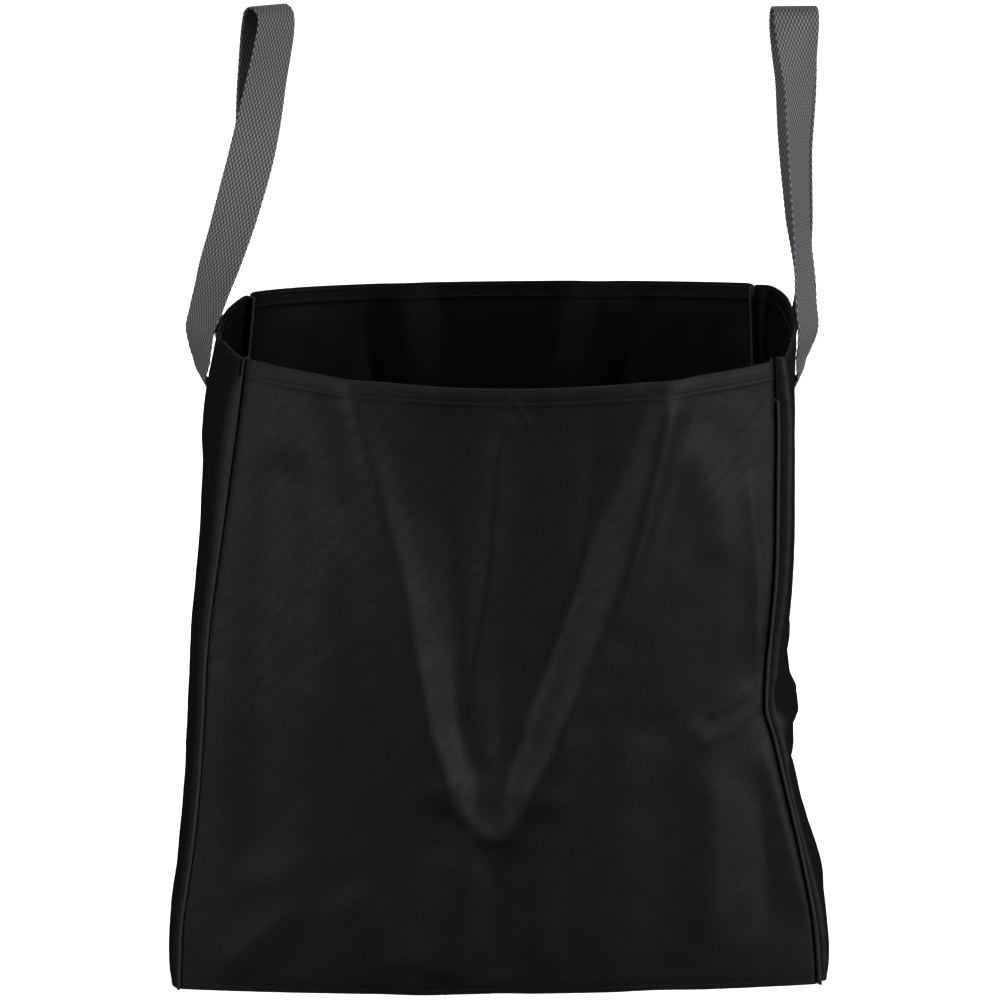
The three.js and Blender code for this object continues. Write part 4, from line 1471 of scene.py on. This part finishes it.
# The links of the stitch tree: from a node and its output, to a node and its input.
STITCH_LINKS = (
    ("given", "Geometry", "line", "Mesh"),
    ("line", "Curve", "spaced", "Curve"),
    ("given", "Stitch Pitch", "spaced", "Length"),
    ("tangent", "Tangent", "aim", "Vector"),
    ("given", "Stitch Length", "size", "X"),
    ("given", "Thread Width", "size", "Y"),
    ("given", "Thread Width", "size", "Z"),
    ("ball", "Mesh", "stretched", "Geometry"),
    ("size", "Vector", "stretched", "Scale"),
    ("given", "Seed", "uneven", "Seed"),
    ("spaced", "Curve", "laid", "Points"),
    ("stretched", "Geometry", "laid", "Instance"),
    ("aim", "Rotation", "laid", "Rotation"),
    ("uneven", 1, "laid", "Scale"),
    ("laid", "Instances", "real", "Geometry"),
    ("real", "Geometry", "soft", "Geometry"),
    ("soft", "Geometry", "dressed", "Geometry"),
    ("given", "Thread", "dressed", "Material"),
    ("dressed", "Geometry", "result", "Geometry"),
)


@dataclass(frozen=True)
class StitchTree:
    """A node tree that lays stitches of one thread along lines."""

    name: str = "stitch_rows"
    segments: int = 7
    rings: int = 5
    least: float = 0.85
    most: float = 1.12

    def made(self) -> bpy.types.NodeTree:
        """Make the tree with its named inputs."""
        tree = bpy.data.node_groups.new(self.name, "GeometryNodeTree")
        tree.is_modifier = True
        for name, way, kind in STITCH_SOCKETS:
            tree.interface.new_socket(name, in_out=way, socket_type=kind)
        nodes = {name: tree.nodes.new(kind) for name, kind in STITCH_NODES.items()}
        nodes["spaced"].mode = "LENGTH"
        nodes["aim"].axis = "X"
        ball = nodes["ball"].inputs
        ball["Segments"].default_value = self.segments
        ball["Rings"].default_value = self.rings
        ball["Radius"].default_value = 0.5
        nodes["uneven"].data_type = "FLOAT"
        nodes["uneven"].inputs[2].default_value = self.least
        nodes["uneven"].inputs[3].default_value = self.most
        for source, output, target, entry in STITCH_LINKS:
            tree.links.new(nodes[source].outputs[output], nodes[target].inputs[entry])
        return tree


@dataclass
class Stitching:
    """Rows of stitches of one kind."""

    name: str
    lines: list
    pitch: float = 0.0032
    length: float = 0.0026
    thread: float = 0.00055
    seed: int = 3

    def build(self, tree: bpy.types.NodeTree, finishes: Finishes) -> bpy.types.Object:
        """Lay the stitches along their lines and keep them as a plain mesh."""
        points = np.concatenate(self.lines)
        edges = []
        start = 0
        for line in self.lines:
            edges += [(start + k, start + k + 1) for k in range(len(line) - 1)]
            start += len(line)
        guide = bpy.data.meshes.new(f"{self.name}_guide")
        guide.from_pydata(points.tolist(), edges, [])
        source = bpy.data.objects.new(f"{self.name}_guide", guide)
        bpy.context.scene.collection.objects.link(source)
        modifier = source.modifiers.new("stitches", "NODES")
        modifier.node_group = tree
        values = {
            "Stitch Pitch": self.pitch,
            "Stitch Length": self.length,
            "Thread Width": self.thread,
            "Seed": self.seed,
            "Thread": finishes.thread,
        }
        for item in tree.interface.items_tree:
            if item.in_out == "INPUT" and item.name in values:
                modifier[item.identifier] = values[item.name]
        depsgraph = bpy.context.evaluated_depsgraph_get()
        mesh = bpy.data.meshes.new_from_object(source.evaluated_get(depsgraph))
        bpy.data.objects.remove(source)
        bpy.data.meshes.remove(guide)
        mesh.name = self.name
        piece = bpy.data.objects.new(self.name, mesh)
        bpy.context.scene.collection.objects.link(piece)
        place_piece(piece)
        return piece


@dataclass(frozen=True)
class Softbox:
    """A soft rectangular light: where it stands round the bag, in degrees, and its size and power."""

    name: str
    azimuth: float
    elevation: float
    distance: float
    size: tuple[float, float]
    power: float

    def build(self, middle: Vector) -> None:
        """Make the light, pointing at the middle of the bag."""
        round_way, up = math.radians(self.azimuth), math.radians(self.elevation)
        level = Vector((math.sin(round_way), -math.cos(round_way), 0.0)) * math.cos(up)
        away = level + Vector((0.0, 0.0, math.sin(up)))
        data = bpy.data.lights.new(self.name, "AREA")
        data.shape = "RECTANGLE"
        data.size, data.size_y = self.size
        data.energy = self.power
        made = bpy.data.objects.new(self.name, data)
        made.location = middle + away * self.distance
        made.rotation_euler = away.to_track_quat("Z", "Y").to_euler()
        made.visible_camera = False
        bpy.context.scene.collection.objects.link(made)


SOFTBOXES = (
    Softbox("left_softbox", -47.0, 11.0, 2.2, (0.7, 1.4), 34.0),
    Softbox("right_softbox", 56.0, 11.0, 2.2, (0.8, 1.4), 54.0),
    Softbox("upper_softbox", 0.0, 62.0, 2.4, (1.8, 1.0), 8.0),
    Softbox("rear_softbox", 180.0, 48.0, 2.4, (1.8, 1.0), 13.0),
)


@dataclass
class Studio:
    """A plain pale floor, soft lights round the bag, and the camera."""

    camera_place: tuple[float, float, float] = (0.0, -2.6, 0.90)
    camera_pitch: float = 13.159
    focal_share: float = 4.0561
    sensor: float = 36.0
    floor_size: float = 60.0
    floor_sun: float = 5.4
    floor_sun_angle: float = 60.0
    middle_height: float = 0.24
    softboxes: tuple[Softbox, ...] = SOFTBOXES

    def camera(self) -> None:
        """Make the camera at the photograph's place."""
        data = bpy.data.cameras.new("camera")
        data.sensor_width = self.sensor
        data.lens = self.sensor * self.focal_share
        made = bpy.data.objects.new("camera", data)
        made.location = self.camera_place
        made.rotation_euler = (math.radians(90 - self.camera_pitch), 0.0, 0.0)
        bpy.context.scene.collection.objects.link(made)
        bpy.context.scene.camera = made

    def floor(self) -> bpy.types.Object:
        """Make the floor, which isn't part of the bag and throws no light back at it."""
        half = self.floor_size / 2
        mesh = bpy.data.meshes.new("floor")
        corners = [(-half, -half, 0), (half, -half, 0), (half, half, 0), (-half, half, 0)]
        mesh.from_pydata(corners, [], [(0, 1, 2, 3)])
        graph = Graph("pale_floor")
        mesh.materials.append(
            graph.finish(Base_Color=(0.9, 0.9, 0.9), Roughness=0.8, Specular_IOR_Level=0.1)
        )
        made = bpy.data.objects.new("floor", mesh)
        made.visible_diffuse = False
        made.visible_glossy = False
        bpy.context.scene.collection.objects.link(made)
        return made

    def floor_light(self, floor: bpy.types.Object) -> None:
        """Make a soft sun that lights the floor alone."""
        lit = bpy.data.collections.new("lit_floor")
        lit.objects.link(floor)
        data = bpy.data.lights.new("floor_sun", "SUN")
        data.energy = self.floor_sun
        data.angle = math.radians(self.floor_sun_angle)
        made = bpy.data.objects.new("floor_sun", data)
        made.light_linking.receiver_collection = lit
        bpy.context.scene.collection.objects.link(made)

    def sky(self) -> None:
        """Make a white sky that is seen but gives no light."""
        world = bpy.data.worlds.new("studio_sky")
        world.use_nodes = True
        background = next(node for node in world.node_tree.nodes if node.type == "BACKGROUND")
        background.inputs["Color"].default_value = (1.0, 1.0, 1.0, 1.0)
        world.cycles_visibility.diffuse = False
        world.cycles_visibility.glossy = False
        bpy.context.scene.world = world

    def build(self) -> None:
        """Make the whole studio."""
        self.camera()
        self.floor_light(self.floor())
        self.sky()
        for softbox in self.softboxes:
            softbox.build(Vector((0.0, 0.0, self.middle_height)))
        bpy.context.scene.view_settings.view_transform = "Standard"


def handles(bag: BagForm) -> list[Handle]:
    """Return the two handles with the stations of their legs."""
    left = Handle(
        bag=bag,
        side=-1,
        sewn=(0.59, 0.86),
        front=(
            (-0.18, 0.944, 0.11, -77),
            (-0.128, 0.945, 0.1, -64),
            (-0.079, 0.947, 0.09, -56),
            (-0.029, 0.945, 0.08, -48),
            (0.036, 0.9255, 0.09, -41),
            (0.102, 0.905, 0.1, -35),
            (0.17, 0.884, 0.12, -24),
            (0.28, 0.848, 0.15, -16),
            (0.4, 0.813, 0.18, -5),
            (0.54, 0.776, 0.22, 8),
            (0.75, 0.733, 0.26, 31),
        ),
        top=(0.698, 0.28, 41),
        back=(
            (0.75, 0.768, 0.42, 35),
            (0.5, 0.785, 0.48, 32),
            (0.38, 0.815, 0.51, 38),
            (0.25, 0.845, 0.54, 50),
            (0.12, 0.868, 0.56, 66),
            (0.0, 0.912, 0.58, 84),
        ),
    )
    right = Handle(
        bag=bag,
        side=1,
        sewn=(0.52, 0.78),
        front=(
            (-0.18, 0.95, 0.14, 80),
            (-0.142, 0.954, 0.13, 75),
            (-0.112, 0.96, 0.12, 70),
            (-0.073, 0.967, 0.1, 64),
            (-0.027, 0.9705, 0.09, 60),
            (0.052, 0.963, 0.1, 60),
            (0.12, 0.96, 0.12, 60),
            (0.3, 0.945, 0.14, 66),
            (0.56, 0.933, 0.18, 59),
            (0.76, 0.933, 0.21, 45),
        ),
        top=(0.923, 0.22, 6),
        back=(
            (0.76, 0.93, 0.37, -28),
            (0.54, 0.935, 0.43, -46),
            (0.28, 0.955, 0.53, -58),
            (0.03, 0.968, 0.61, -82),
        ),
    )
    return [left, right]


def main() -> None:
    """Build the bag and its studio."""
    logging.basicConfig(level=logging.INFO, format="%(name)s %(message)s")
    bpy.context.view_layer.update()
    Studio().build()
    bag = BagForm()
    finishes = Finishes.made()
    walls = [
        Wall(bag, Side.FRONT, "front_panel", columns=176, rows=170, cut=bag.width),
        Wall(bag, Side.RIGHT, "right_gusset", columns=92, rows=150, cut=bag.depth),
        Wall(bag, Side.BACK, "back_panel", columns=130, rows=130, cut=bag.width),
        Wall(bag, Side.LEFT, "left_gusset", columns=92, rows=150, cut=bag.depth),
    ]
    for wall in walls:
        wall.build(finishes)
    BasePanel(bag).build(finishes)
    seams = [SeamBinding(bag, corner) for corner in Corner]
    for seam in seams:
        seam.build(finishes)
    loops = handles(bag)
    for loop in loops:
        loop.build(finishes)
    tree = StitchTree().made()
    above = 0.00002
    faces = (-above, bag.hem_layers * bag.cloth + above)
    rows = [wall.row(down, inset) for wall in walls for down in bag.hem_stitches for inset in faces]
    Stitching("hem_stitches", rows).build(tree, finishes)
    feet = [wall.row(bag.height - bag.foot_stitches, -above) for wall in walls]
    Stitching("foot_stitches", feet, seed=5).build(tree, finishes)
    taped = [seam.row(side) for seam in seams for side in (-1.0, 1.0)]
    Stitching("binding_stitches", taped, seed=7).build(tree, finishes)
    boxes = [line for loop in loops for line in loop.box_rows()]
    boxed = Stitching("handle_stitches", boxes, pitch=0.0030, length=0.0025, thread=0.0006, seed=9)
    boxed.build(tree, finishes)
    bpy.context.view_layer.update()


if __name__ == "__main__":
    main()
